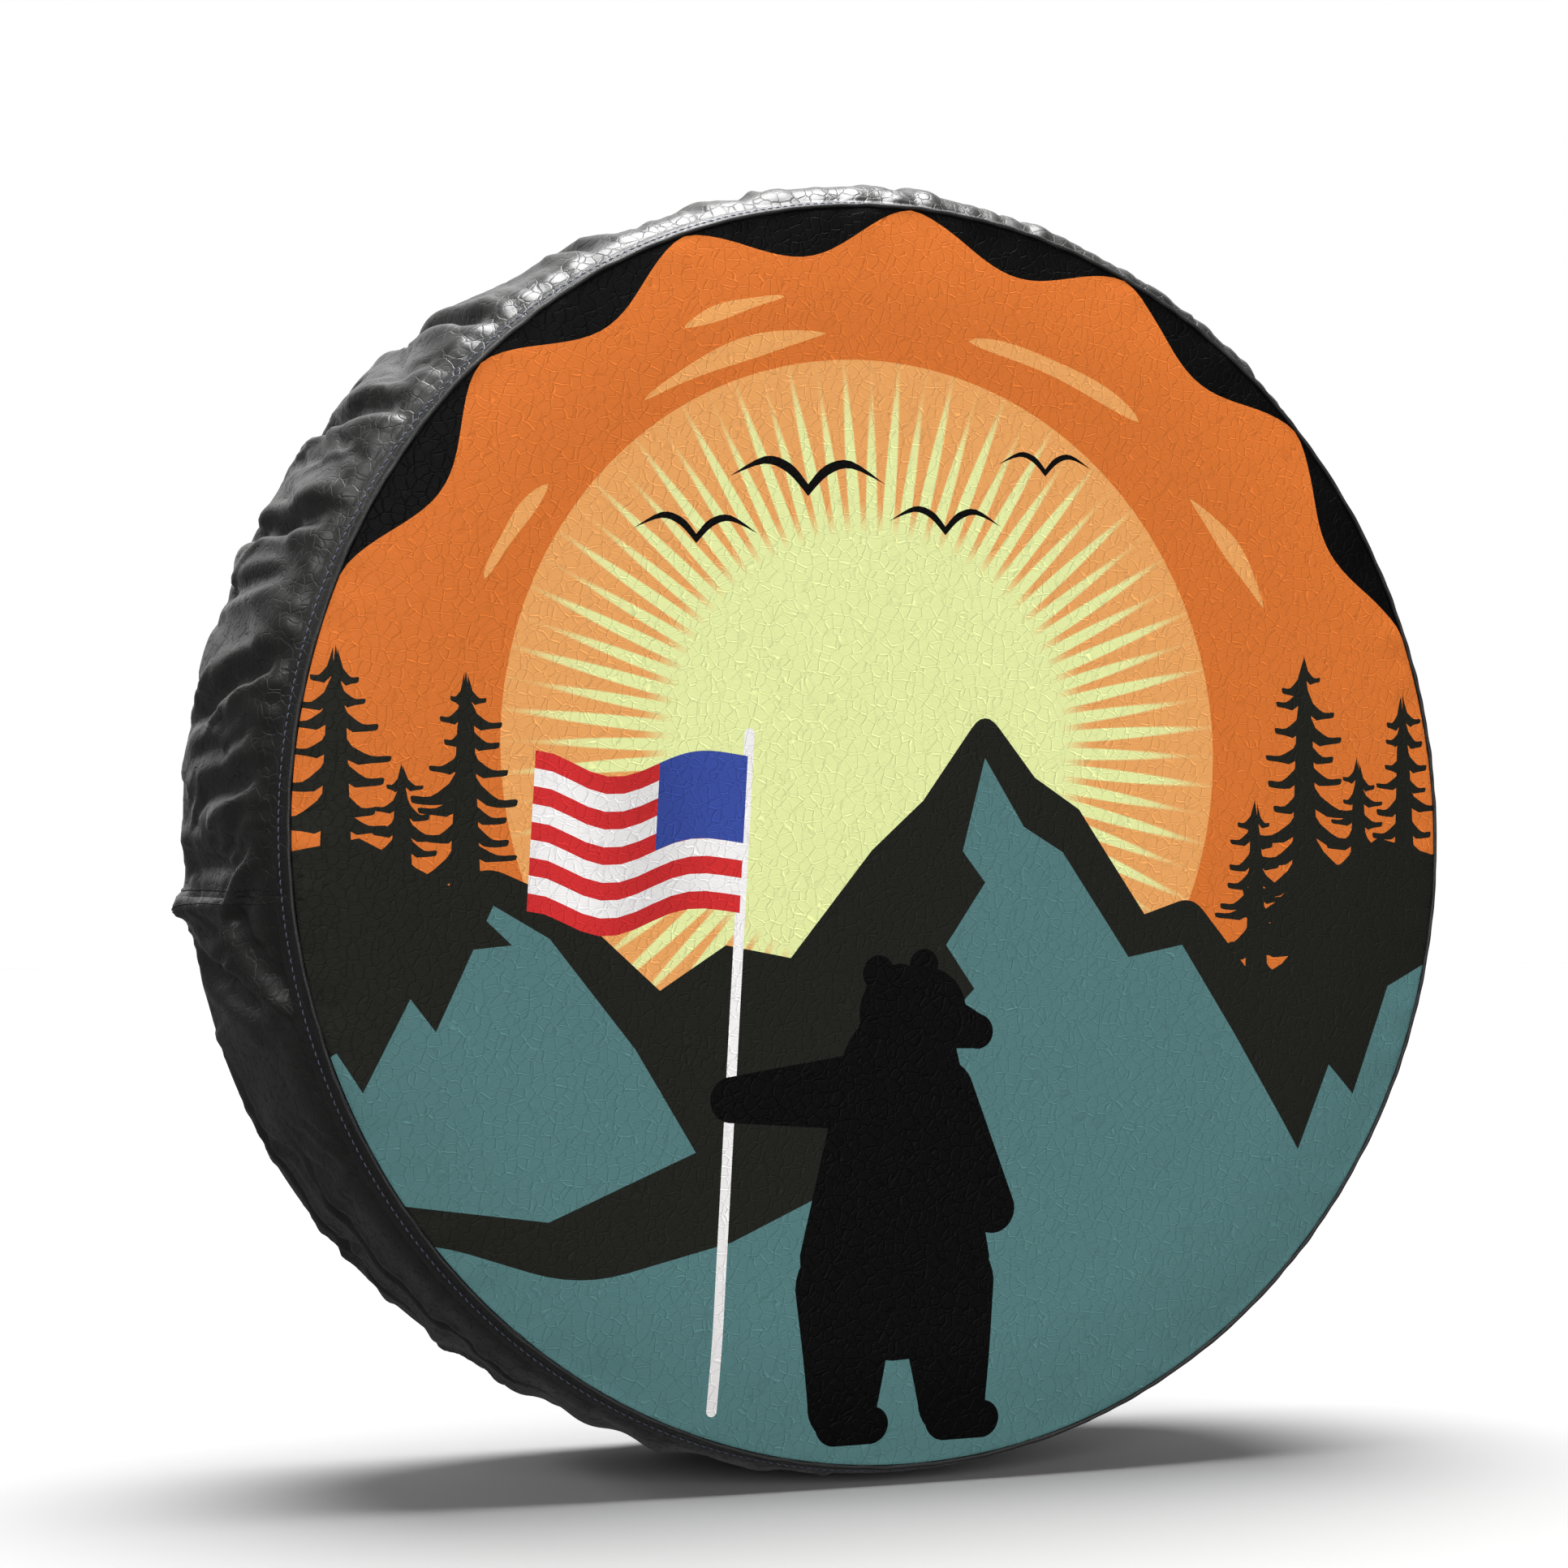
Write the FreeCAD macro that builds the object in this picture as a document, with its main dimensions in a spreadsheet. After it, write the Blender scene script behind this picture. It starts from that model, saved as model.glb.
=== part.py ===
import FreeCAD, Part
import os

import Sketcher

# Spare tire cover: a round printed leatherette face sewn to a side band of two strips, whose rear
# edge is gathered round a mouth by a ring of elastic in a bound hem. It is drawn as it sits on the
# wheel.
# Frame: the origin is the wheel's centre, Y is the wheel's axis, the face looks along -Y, Z is up.
# Lengths are in millimetres, angles in degrees.

DIMENSIONS = {
    "overall_depth": 224.0,  # from the face's front to the hem's rear
    "band_radius": 361.5,  # outside of the side band, on a tire 719 mm across
    "leather": 1.0,  # thickness of the leatherette
    "face_radius": 350.5,  # where the printed face meets the seam
    "face_crown": 6.0,  # how far the face stands in front of its seam
    "flat_radius": 285.0,  # the face is flat inside this radius
    "backing": 0.8,  # thickness of the felt behind the face
    "backing_radius": 343.0,
    "layer_gap": 0.1,  # air between layers that lie on each other
    "welt_radius": 1.3,  # the welt's bead, between face and band
    "bead_split": 55.0,  # where the two arcs of the bead's outline meet, in front of its outermost point
    "welt_tail": 0.6,  # thickness of the welt's tail, which is sewn into the seam
    "tail_length": 14.0,
    "seam_tape": 0.6,  # thickness of the tape that binds the tail and the raw edges
    "seam_tape_width": 8.0,
    "shoulder_depth": 42.0,  # depth of the band's front shoulder
    "shoulder_drop": 9.0,  # how far that shoulder falls in towards the seam
    "rear_shoulder": 44.0,  # radius of the band's rear shoulder
    "strip_sweep": 180.0,  # the band is two strips, each half the way round
    "join_tilt": 6.0,  # the left join is this far below the axis, and the right one above it
    "allowance": 12.0,  # each strip's end is folded in by this much at a join
    "mouth_radius": 255.0,
    "casing_width": 26.0,
    "casing": 1.0,  # thickness of the binding tape round the elastic
    "casing_slot": 1.8,  # gap between the two legs of the binding
    "hem_overlap": 6.0,  # how far the band's edge reaches into the binding
    "elastic_width": 17.0,
    "elastic": 1.5,
    "thread_radius": 0.4,
    "topstitch_depth": 7.0,  # the seam's topstitching is this far behind the face's edge
    "hidden_stitch_depth": 4.0,
    "hem_stitch_in": 3.0,  # the hem's stitch rows, in from the binding's edges
    "join_row_gap": 8.0,  # between the two stitch rows of a join
    "whole_turn": 360.0,
}

doc = FreeCAD.newDocument("SpareTireCover")
sheet = doc.addObject("Spreadsheet::Sheet", "Dimensions")
for row, (alias, value) in enumerate(DIMENSIONS.items(), start=1):
    sheet.set(f"A{row}", alias)
    sheet.set(f"B{row}", str(value))
    sheet.setAlias(f"B{row}", alias)
doc.recompute()


def cells(text):
    """The expression with every alias written as a cell of the sheet."""
    for alias in sorted(DIMENSIONS, key=len, reverse=True):
        text = text.replace(f"<{alias}>", f"Dimensions.{alias}")
    return text


def number(text):
    """What an expression is worth now."""
    return float(sheet.evalExpression(cells(text)))


# Depths along Y and radii that several pieces share, as expressions of the sheet's cells.
FRONT = "(-<overall_depth> / 2)"
REAR = "(<overall_depth> / 2)"
SEAM = f"({FRONT} + <face_crown>)"
WELT_MIDDLE = f"({SEAM} + <leather> / 2)"
BAND_START = f"({WELT_MIDDLE} + <welt_radius> + <layer_gap>)"
SHOULDER_END = f"({SEAM} + <shoulder_depth>)"
CASING_DEPTH = "(2 * <casing> + <casing_slot>)"
HEM_MIDDLE = f"({REAR} - {CASING_DEPTH} / 2)"
BAND_REAR = f"({HEM_MIDDLE} + <leather> / 2)"
BEND_START = f"({BAND_REAR} - <rear_shoulder>)"
CASING_EDGE = "(<mouth_radius> + <casing_width>)"
BAND_EDGE = f"({CASING_EDGE} - <hem_overlap>)"
BAND_INSIDE = "(<band_radius> - <leather>)"
TAIL_OUTSIDE = f"({BAND_INSIDE} - <shoulder_drop> - <layer_gap>)"
TAIL_INSIDE = f"({TAIL_OUTSIDE} - <welt_tail>)"
TAIL_END = f"({WELT_MIDDLE} + <tail_length>)"


def new_body(label):
    body = doc.addObject("PartDesign::Body", label)
    body.Label = label
    return body


def new_sketch(body):
    """A sketch on the body's XY plane: X is the radius, Y the depth."""
    count = sum(item.isDerivedFrom("Sketcher::SketchObject") for item in body.Group)
    sketch = body.newObject("Sketcher::SketchObject", f"{body.Name}_profile{count}")
    plane = next(f for f in body.Origin.OriginFeatures if f.Role == "XY_Plane")
    sketch.AttachmentSupport = [(plane, "")]
    sketch.MapMode = "FlatFace"
    return sketch


def bind(sketch, kind, element, text):
    """One dimension of the sketch, tied to an expression."""
    index = sketch.addConstraint(Sketcher.Constraint(kind, *element, number(text)))
    sketch.renameConstraint(index, f"size{index}")
    sketch.setExpression(f"Constraints.size{index}", cells(text))


def place_point(sketch, geometry, point, radius, depth):
    if number(radius) == 0:
        sketch.addConstraint(Sketcher.Constraint("PointOnObject", geometry, point, -2))
    else:
        bind(sketch, "DistanceX", (-1, 1, geometry, point), radius)
    bind(sketch, "DistanceY", (-1, 1, geometry, point), depth)


def arc_between(start, end, radius, turn):
    """An arc between two points. turn is 1 when it runs counterclockwise, else -1."""
    chord = end - start
    height = max(radius**2 - (chord.Length / 2) ** 2, 0) ** 0.5
    side = FreeCAD.Vector(-chord.y, chord.x, 0).normalize() * turn
    centre = (start + end) / 2 + side * height
    first, last = (start, end) if turn > 0 else (end, start)
    circle = Part.Circle(centre, FreeCAD.Vector(0, 0, 1), radius)
    return Part.ArcOfCircle(circle, circle.parameter(first), circle.parameter(last))


def draw_outline(sketch, corners, arcs):
    """A closed outline. arcs gives the sides that are arcs: {corner: (radius, turn)}."""
    count = len(corners)
    points = [FreeCAD.Vector(number(r), number(y), 0) for r, y in corners]
    ends = []
    for i in range(count):
        start, end = points[i], points[(i + 1) % count]
        if i in arcs:
            radius, turn = arcs[i]
            sketch.addGeometry(arc_between(start, end, number(radius), turn))
            bind(sketch, "Radius", (i,), radius)
            ends.append((1, 2) if turn > 0 else (2, 1))
        else:
            sketch.addGeometry(Part.LineSegment(start, end))
            ends.append((1, 2))
    for i in range(count):
        following = (i + 1) % count
        joint = (i, ends[i][1], following, ends[following][0])
        sketch.addConstraint(Sketcher.Constraint("Coincident", *joint))
    for i, (radius, depth) in enumerate(corners):
        place_point(sketch, i, ends[i][0], radius, depth)


def revolve(body, sketch, sweep="<whole_turn>"):
    """Turns the sketch about the wheel's axis, half of the sweep each way."""
    turned = body.newObject("PartDesign::Revolution", sketch.Name + "_turned")
    turned.Profile = sketch
    turned.ReferenceAxis = (sketch, ["V_Axis"])
    turned.Midplane = True
    turned.setExpression("Angle", cells(sweep))
    sketch.Visibility = False
    return body


def add_ring(body, corners, arcs=None, sweep="<whole_turn>", turn=None):
    """Adds a turned outline to a body. turn is where the middle of its sweep is, about Y."""
    sketch = new_sketch(body)
    draw_outline(sketch, corners, arcs or {})
    if turn:
        sketch.AttachmentOffset = about_axis(1)
        sketch.setExpression(".AttachmentOffset.Rotation.Angle", cells(turn))
    return revolve(body, sketch, sweep)


def add_round_rings(body, rings, section):
    """Adds one ring of round section for each (radius, depth) in rings."""
    sketch = new_sketch(body)
    for i, (radius, depth) in enumerate(rings):
        centre = FreeCAD.Vector(number(radius), number(depth), 0)
        sketch.addGeometry(Part.Circle(centre, FreeCAD.Vector(0, 0, 1), number(section)))
        bind(sketch, "Radius", (i,), section)
        place_point(sketch, i, 3, radius, depth)
    return revolve(body, sketch)


def about_axis(angle):
    """A turn about the wheel's axis."""
    turn = FreeCAD.Rotation(FreeCAD.Vector(0, 1, 0), angle)
    return FreeCAD.Placement(FreeCAD.Vector(0, 0, 0), turn)


def turn_piece(piece, angle):
    """Turns a whole piece about the wheel's axis, from +X towards +Z, by an expression."""
    piece.Placement = about_axis(1)
    piece.setExpression(".Placement.Rotation.Angle", cells(f"-({angle})"))


def rectangle(low_radius, high_radius, front, rear):
    return [(low_radius, front), (high_radius, front), (high_radius, rear), (low_radius, rear)]


def crown_arc(width, rise):
    """The radius of an arc that leaves a flat at a tangent and falls by rise over width."""
    return f"(({width}) ^ 2 + ({rise}) ^ 2) / (2 * ({rise}))"


def crowned_disc(label, radius, front, thickness, rise):
    """A disc that is flat inside flat_radius and falls back by rise at its edge."""
    arc = crown_arc(f"{radius} - <flat_radius>", rise)
    corners = [
        ("0", front),
        ("<flat_radius>", front),
        (radius, f"{front} + {rise}"),
        (radius, f"{front} + {rise} + {thickness}"),
        ("<flat_radius>", f"{front} + {thickness}"),
        ("0", f"{front} + {thickness}"),
    ]
    return add_ring(new_body(label), corners, {1: (arc, 1), 3: (arc, -1)})


def band_outline():
    """The side band's section from its front edge, round the rear shoulder, into the hem."""
    bend_radius = "(<band_radius> - <rear_shoulder>)"
    start = "(<band_radius> - <shoulder_drop>)"
    shoulder = crown_arc(f"{SHOULDER_END} - {BAND_START}", "<shoulder_drop>")
    corners = [
        (start, BAND_START),
        ("<band_radius>", SHOULDER_END),
        ("<band_radius>", BEND_START),
        (bend_radius, BAND_REAR),
        (BAND_EDGE, BAND_REAR),
        (BAND_EDGE, f"({BAND_REAR} - <leather>)"),
        (bend_radius, f"({BAND_REAR} - <leather>)"),
        (BAND_INSIDE, BEND_START),
        (BAND_INSIDE, SHOULDER_END),
        (f"({start} - <leather>)", BAND_START),
    ]
    arcs = {
        0: (shoulder, 1),
        2: ("<rear_shoulder>", 1),
        6: ("(<rear_shoulder> - <leather>)", -1),
        8: (shoulder, -1),
    }
    return corners, arcs


def face_and_backing():
    face = crowned_disc("printed_face", "<face_radius>", FRONT, "<leather>", "<face_crown>")
    share = "((<backing_radius> - <flat_radius>) / (<face_radius> - <flat_radius>))"
    front = f"({FRONT} + <leather> + <layer_gap>)"
    rise = f"(<face_crown> * {share} ^ 2)"
    backing = crowned_disc("face_backing", "<backing_radius>", front, "<backing>", rise)
    return [face, backing]


def strip(label, middle):
    """Half of the side band, with its two ends folded in. middle is where its middle is."""
    body = new_body(label)
    corners, arcs = band_outline()
    add_ring(body, corners, arcs, "<strip_sweep>")
    inside = f"({BAND_INSIDE} - <leather>)"
    sweep = "(<allowance> / <band_radius> * 180 / pi)"
    fold = rectangle(inside, BAND_INSIDE, SHOULDER_END, BEND_START)
    for side in ("", "-"):
        add_ring(body, fold, {}, sweep, f"{side}(<strip_sweep> / 2 - {sweep} / 2)")
    turn_piece(body, middle)
    return body


def side_band():
    upper = strip("side_band_upper", "90 + <join_tilt>")
    lower = strip("side_band_lower", "270 + <join_tilt>")
    return [upper, lower]


def join_topstitch(label, angle):
    """The two rows of stitches along a join, on the band's straight stretch."""
    rows = doc.addObject("Part::Compound", label)
    threads = []
    for side in ("", "-"):
        thread = doc.addObject("Part::Cylinder", f"{label}_row")
        thread.setExpression("Radius", cells("<thread_radius>"))
        thread.setExpression("Height", cells(f"{BEND_START} - {SHOULDER_END}"))
        thread.Placement.Rotation = FreeCAD.Rotation(FreeCAD.Vector(1, 0, 0), -90)
        thread.setExpression(".Placement.Base.x", cells("<band_radius> + <thread_radius>"))
        thread.setExpression(".Placement.Base.y", cells(SHOULDER_END))
        thread.setExpression(".Placement.Base.z", cells(f"{side}<join_row_gap> / 2"))
        threads.append(thread)
    rows.Links = threads
    turn_piece(rows, angle)
    return rows


def seam():
    """The welt and its tail, the tape over the tail, the hidden seam and the topstitching."""
    middle = "(<face_radius> + <layer_gap> + <welt_radius>)"
    outer_foot = f"({WELT_MIDDLE} + sqrt(<welt_radius> ^ 2 - ({middle} - {TAIL_OUTSIDE}) ^ 2))"
    inner_foot = f"({WELT_MIDDLE} + sqrt(<welt_radius> ^ 2 - ({middle} - {TAIL_INSIDE}) ^ 2))"
    outline = [
        (TAIL_INSIDE, inner_foot),
        (TAIL_INSIDE, TAIL_END),
        (TAIL_OUTSIDE, TAIL_END),
        (TAIL_OUTSIDE, outer_foot),
        (
            f"({middle} + <welt_radius> * cos(<bead_split>))",
            f"({WELT_MIDDLE} - <welt_radius> * sin(<bead_split>))",
        ),
    ]
    bead = ("<welt_radius>", -1)
    welt = add_ring(new_body("seam_welt"), outline, {3: bead, 4: bead})

    low = f"({TAIL_INSIDE} - <layer_gap>)"
    high = f"({TAIL_OUTSIDE} + <layer_gap>)"
    fold = f"({TAIL_END} + <layer_gap>)"
    front = f"({fold} - <seam_tape_width>)"
    outline = [
        (low, front),
        (low, fold),
        (high, fold),
        (high, front),
        (f"({high} + <seam_tape>)", front),
        (f"({high} + <seam_tape>)", f"({fold} + <seam_tape>)"),
        (f"({low} - <seam_tape>)", f"({fold} + <seam_tape>)"),
        (f"({low} - <seam_tape>)", front),
    ]
    tape = add_ring(new_body("seam_tape"), outline)

    hidden_radius = f"({TAIL_INSIDE} - <thread_radius> - <layer_gap> / 2)"
    hidden_row = [(hidden_radius, f"({SEAM} + <hidden_stitch_depth>)")]
    hidden = add_round_rings(new_body("hidden_seam_thread"), hidden_row, "<thread_radius>")

    share = f"(({SHOULDER_END} - {SEAM} - <topstitch_depth>) / ({SHOULDER_END} - {BAND_START}))"
    height = f"(<band_radius> - <shoulder_drop> * {share} ^ 2 + 1.5 * <thread_radius>)"
    top_row = [(height, f"({SEAM} + <topstitch_depth>)")]
    topstitch = add_round_rings(new_body("face_topstitch"), top_row, "<thread_radius>")
    return [welt, tape, hidden, topstitch]


def hem():
    """The folded binding, the elastic in its fold, and two rows of stitches on its rear side."""
    fold = "(<mouth_radius> + <casing>)"
    near = f"({REAR} - {CASING_DEPTH})"
    outline = [
        (CASING_EDGE, near),
        (CASING_EDGE, f"({near} + <casing>)"),
        (fold, f"({near} + <casing>)"),
        (fold, f"({REAR} - <casing>)"),
        (CASING_EDGE, f"({REAR} - <casing>)"),
        (CASING_EDGE, REAR),
        ("<mouth_radius>", REAR),
        ("<mouth_radius>", near),
    ]
    binding = add_ring(new_body("hem_binding"), outline)

    low = f"({fold} + <layer_gap>)"
    front = f"({HEM_MIDDLE} - <elastic> / 2)"
    rear = f"({HEM_MIDDLE} + <elastic> / 2)"
    section = rectangle(low, f"({low} + <elastic_width>)", front, rear)
    elastic = add_ring(new_body("elastic_ring"), section)

    depth = f"({REAR} + <thread_radius> + <layer_gap> / 2)"
    rows = [(f"({CASING_EDGE} - <hem_stitch_in>)", depth)]
    rows.append(("(<mouth_radius> + <hem_stitch_in>)", depth))
    stitching = add_round_rings(new_body("hem_stitching"), rows, "<thread_radius>")
    return [binding, elastic, stitching]


pieces = face_and_backing() + side_band() + seam() + hem()
pieces.append(join_topstitch("left_join_topstitch", "180 + <join_tilt>"))
pieces.append(join_topstitch("right_join_topstitch", "<join_tilt>"))
doc.recompute()

for item in doc.Objects:
    if {"Invalid", "Error"} & set(item.State):
        raise RuntimeError(f"{item.Label} failed")
for piece in pieces:
    if piece.Shape.isNull() or not piece.Shape.isValid():
        raise RuntimeError(f"{piece.Label} has no valid shape")
    print(piece.Label, len(piece.Shape.Solids), round(piece.Shape.Volume))

os.makedirs("parts", exist_ok=True)
for piece in pieces:
    piece.Shape.exportStep(f"parts/{piece.Label}.step")
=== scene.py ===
"""Spare tire cover: a printed leatherette face sewn to a gathered black side band."""
import math

import bmesh
import bpy
import numpy as np
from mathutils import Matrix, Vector
from mathutils.geometry import delaunay_2d_cdt

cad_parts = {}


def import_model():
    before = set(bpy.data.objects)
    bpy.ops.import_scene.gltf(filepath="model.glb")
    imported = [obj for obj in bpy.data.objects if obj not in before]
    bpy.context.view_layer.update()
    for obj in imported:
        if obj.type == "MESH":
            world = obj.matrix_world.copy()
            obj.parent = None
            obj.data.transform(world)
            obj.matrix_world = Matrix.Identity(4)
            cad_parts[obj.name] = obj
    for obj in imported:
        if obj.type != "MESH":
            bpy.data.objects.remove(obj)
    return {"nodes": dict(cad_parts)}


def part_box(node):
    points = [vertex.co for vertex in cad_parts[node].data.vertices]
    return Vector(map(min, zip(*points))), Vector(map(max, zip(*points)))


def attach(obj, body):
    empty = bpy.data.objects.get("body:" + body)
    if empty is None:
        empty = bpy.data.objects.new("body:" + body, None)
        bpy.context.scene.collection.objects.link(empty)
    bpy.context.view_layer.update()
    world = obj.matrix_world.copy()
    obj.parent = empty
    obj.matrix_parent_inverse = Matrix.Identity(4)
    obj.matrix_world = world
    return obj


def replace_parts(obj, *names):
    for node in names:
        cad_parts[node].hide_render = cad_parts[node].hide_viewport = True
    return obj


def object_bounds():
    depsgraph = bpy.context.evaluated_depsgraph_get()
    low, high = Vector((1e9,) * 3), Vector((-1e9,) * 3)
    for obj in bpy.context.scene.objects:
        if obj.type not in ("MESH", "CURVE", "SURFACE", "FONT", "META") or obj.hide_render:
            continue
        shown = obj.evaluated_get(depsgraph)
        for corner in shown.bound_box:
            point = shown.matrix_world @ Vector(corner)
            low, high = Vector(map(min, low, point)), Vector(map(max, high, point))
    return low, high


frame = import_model()
cad_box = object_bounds()

TAU = 2 * math.pi
MM = 0.001

# ---------------------------------------------------------------- sizes, from the frame's own nodes
FACE_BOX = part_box("printed_face")
HEM_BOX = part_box("hem_binding")
FACE_RADIUS = FACE_BOX[1][0]
FRONT_Y = FACE_BOX[0][1]
BAND_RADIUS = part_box("side_band_upper")[1][2]
FLOOR_Z = cad_box[0][2]
HEM_MIDDLE_Y = (HEM_BOX[0][1] + HEM_BOX[1][1]) / 2
CASING_RADIUS = HEM_BOX[1][0]
MOUTH_RADIUS = 255 * MM
CROWN = 6 * MM  # how far the face falls back from its middle to its edge
SEAM_Y = FRONT_Y + CROWN
FLAT_RADIUS = 285 * MM  # the face is flat inside this
JOIN_ANGLE = math.radians(6)  # the right join is this far above the +X axis


# ---------------------------------------------------------------- camera, world and lights
def direction(azimuth, elevation):
    """A unit vector from the object: azimuth 0 is straight out from the face."""
    a, e = math.radians(azimuth), math.radians(elevation)
    return Vector((math.sin(a) * math.cos(e), -math.cos(a) * math.cos(e), math.sin(e)))


def camera():
    """The camera at the photograph's viewing angle, aimed a little beside the face's middle."""
    face = Vector((0, SEAM_Y, 0))
    back = direction(-25.16, -1.66)
    right = (-back).cross(Vector((0, 0, 1))).normalized()
    aim = face - right * 0.0658 + right.cross(-back) * 0.0269
    data = bpy.data.cameras.new("camera")
    data.lens, data.sensor_width = 82.2, 36
    item = bpy.data.objects.new("camera", data)
    item.location = face + back * 2.001
    item.rotation_euler = (aim - item.location).to_track_quat("-Z", "Y").to_euler()
    bpy.context.scene.collection.objects.link(item)
    bpy.context.scene.camera = item


def world():
    """White to the camera, and a dimmer light on the object."""
    item = bpy.data.worlds.new("studio")
    bpy.context.scene.world = item
    item.use_nodes = True
    tree = item.node_tree
    seen = tree.nodes.new("ShaderNodeBackground")
    seen.inputs["Color"].default_value = (1, 1, 1, 1)
    lit = tree.nodes["Background"]
    lit.inputs["Color"].default_value = (1, 1, 1, 1)
    lit.inputs["Strength"].default_value = 0.12
    path = tree.nodes.new("ShaderNodeLightPath")
    mix = tree.nodes.new("ShaderNodeMixShader")
    tree.links.new(path.outputs["Is Camera Ray"], mix.inputs[0])
    tree.links.new(lit.outputs[0], mix.inputs[1])
    tree.links.new(seen.outputs[0], mix.inputs[2])
    tree.links.new(mix.outputs[0], tree.nodes["World Output"].inputs["Surface"])


def sun(name, azimuth, elevation, strength, spread):
    """A soft distant light: where it comes from and how wide it looks, in degrees."""
    data = bpy.data.lights.new(name, "SUN")
    data.energy, data.angle = strength, math.radians(spread)
    item = bpy.data.objects.new(name, data)
    item.rotation_euler = direction(azimuth, elevation).to_track_quat("Z", "Y").to_euler()
    bpy.context.scene.collection.objects.link(item)


camera()
world()
sun("key", 152, 80, 9.2, 44)
sun("front", -10, 9, 3.25, 50)
sun("side", -100, 42, 0.55, 12)
sun("back", 160, 22, 0.8, 60)
bpy.context.scene.view_settings.view_transform = "Standard"


# ---------------------------------------------------------------- shader helpers
class Nodes:
    """A material's node tree, with short calls for the nodes used here."""

    def __init__(self, name, **values):
        self.material = bpy.data.materials.new(name)
        self.material.use_nodes = True
        self.tree = self.material.node_tree
        self.shader = self.tree.nodes["Principled BSDF"]
        for key, value in values.items():
            self.shader.inputs[key.replace("_", " ")].default_value = value

    def add(self, kind, inputs=(), **settings):
        node = self.tree.nodes.new("ShaderNode" + kind)
        for key, value in settings.items():
            setattr(node, key, value)
        for key, value in dict(inputs).items():
            self.put(node.inputs[key], value)
        return node

    def put(self, socket, value):
        if isinstance(value, bpy.types.NodeSocket):
            self.tree.links.new(value, socket)
        else:
            socket.default_value = value

    def math(self, operation, a, b=0.0, c=0.0):
        node = self.add("Math", operation=operation)
        for socket, value in zip(node.inputs, (a, b, c)):
            self.put(socket, value)
        return node.outputs[0]

    def vector(self, operation, a, b=(0, 0, 0)):
        node = self.add("VectorMath", operation=operation)
        self.put(node.inputs[0], a)
        self.put(node.inputs["Scale"] if operation == "SCALE" else node.inputs[1], b)
        return node.outputs[0]

    def ramp(self, value, low, high, to_low=0.0, to_high=1.0):
        node = self.add("MapRange", {"Value": value, "From Min": low, "From Max": high,
                                     "To Min": to_low, "To Max": to_high}, interpolation_type="SMOOTHSTEP")
        return node.outputs[0]

    def mix(self, share, a, b):
        node = self.add("Mix", data_type="RGBA")
        self.put(node.inputs[0], share)
        self.put(node.inputs[6], a)
        self.put(node.inputs[7], b)
        return node.outputs[2]

    def noise(self, where, scale, detail=2.0, rough=0.5):
        node = self.add("TexNoise", {"Vector": where, "Scale": scale, "Detail": detail, "Roughness": rough})
        return node.outputs[0]

    def wave(self, where, axis, scale, distortion):
        inputs = {"Vector": where, "Scale": scale, "Distortion": distortion}
        return self.add("TexWave", inputs, bands_direction=axis).outputs[1]

    def attribute(self, name):
        return self.add("Attribute", attribute_name=name).outputs

    def bump(self, height, distance, strength=1.0):
        node = self.add("Bump", {"Height": height, "Distance": distance, "Strength": strength})
        self.tree.links.new(node.outputs[0], self.shader.inputs["Normal"])

    def finish(self, colour, factor):
        """Tints the surface by a factor and returns the material."""
        self.put(self.shader.inputs["Base Color"], self.vector("SCALE", colour, factor))
        return self.material


def srgb(r, g, b):
    """Linear colour from the 0 to 255 values that a picture shows."""
    def linear(c):
        c /= 255
        return c / 12.92 if c < 0.04045 else ((c + 0.055) / 1.055) ** 2.4
    return tuple(linear(c) for c in (r, g, b))


def leather_grain(n, where, cell):
    """Embossed leatherette: cells between creases.

    Returns the height, how far out of a crease a place is (0 in it, 1 outside it), and a value above 0 on one
    side of each crease and below 0 on the other, which the materials paint as a painted highlight and painted
    shade.
    """
    warp = n.add("TexNoise", {"Vector": where, "Scale": 0.5 / cell, "Detail": 2.0})
    shift = n.vector("SCALE", n.vector("SUBTRACT", warp.outputs["Color"], (0.5, 0.5, 0.5)), cell * 0.9)
    bent = n.vector("ADD", where, shift)

    def crease(at, size, width):
        cells = n.add("TexVoronoi", {"Vector": at, "Scale": 1 / size}, feature="DISTANCE_TO_EDGE")
        return n.ramp(cells.outputs["Distance"], 0.0, width)

    strength = n.ramp(n.noise(where, 0.8 / cell, 1.0), 0.32, 0.62, 0.5, 1.0)
    coarse = crease(bent, cell, 0.09)
    coarse = n.math("SUBTRACT", 1.0, n.math("MULTIPLY", n.math("SUBTRACT", 1.0, coarse), strength))
    fine = crease(n.vector("ADD", bent, (0.31, 0.17, 0.23)), cell * 0.52, 0.16)
    beside = crease(n.vector("ADD", bent, (0.45 * MM, 0.7 * MM, 0.0)), cell, 0.10)
    height = n.math("MULTIPLY_ADD", fine, 0.16, coarse)
    # edge: painted highlight on one side of each crease and painted shade on the other, once a material puts
    # it in the colour
    edge = n.math("MULTIPLY", n.math("SUBTRACT", beside, coarse), strength)
    return height, coarse, edge


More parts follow.
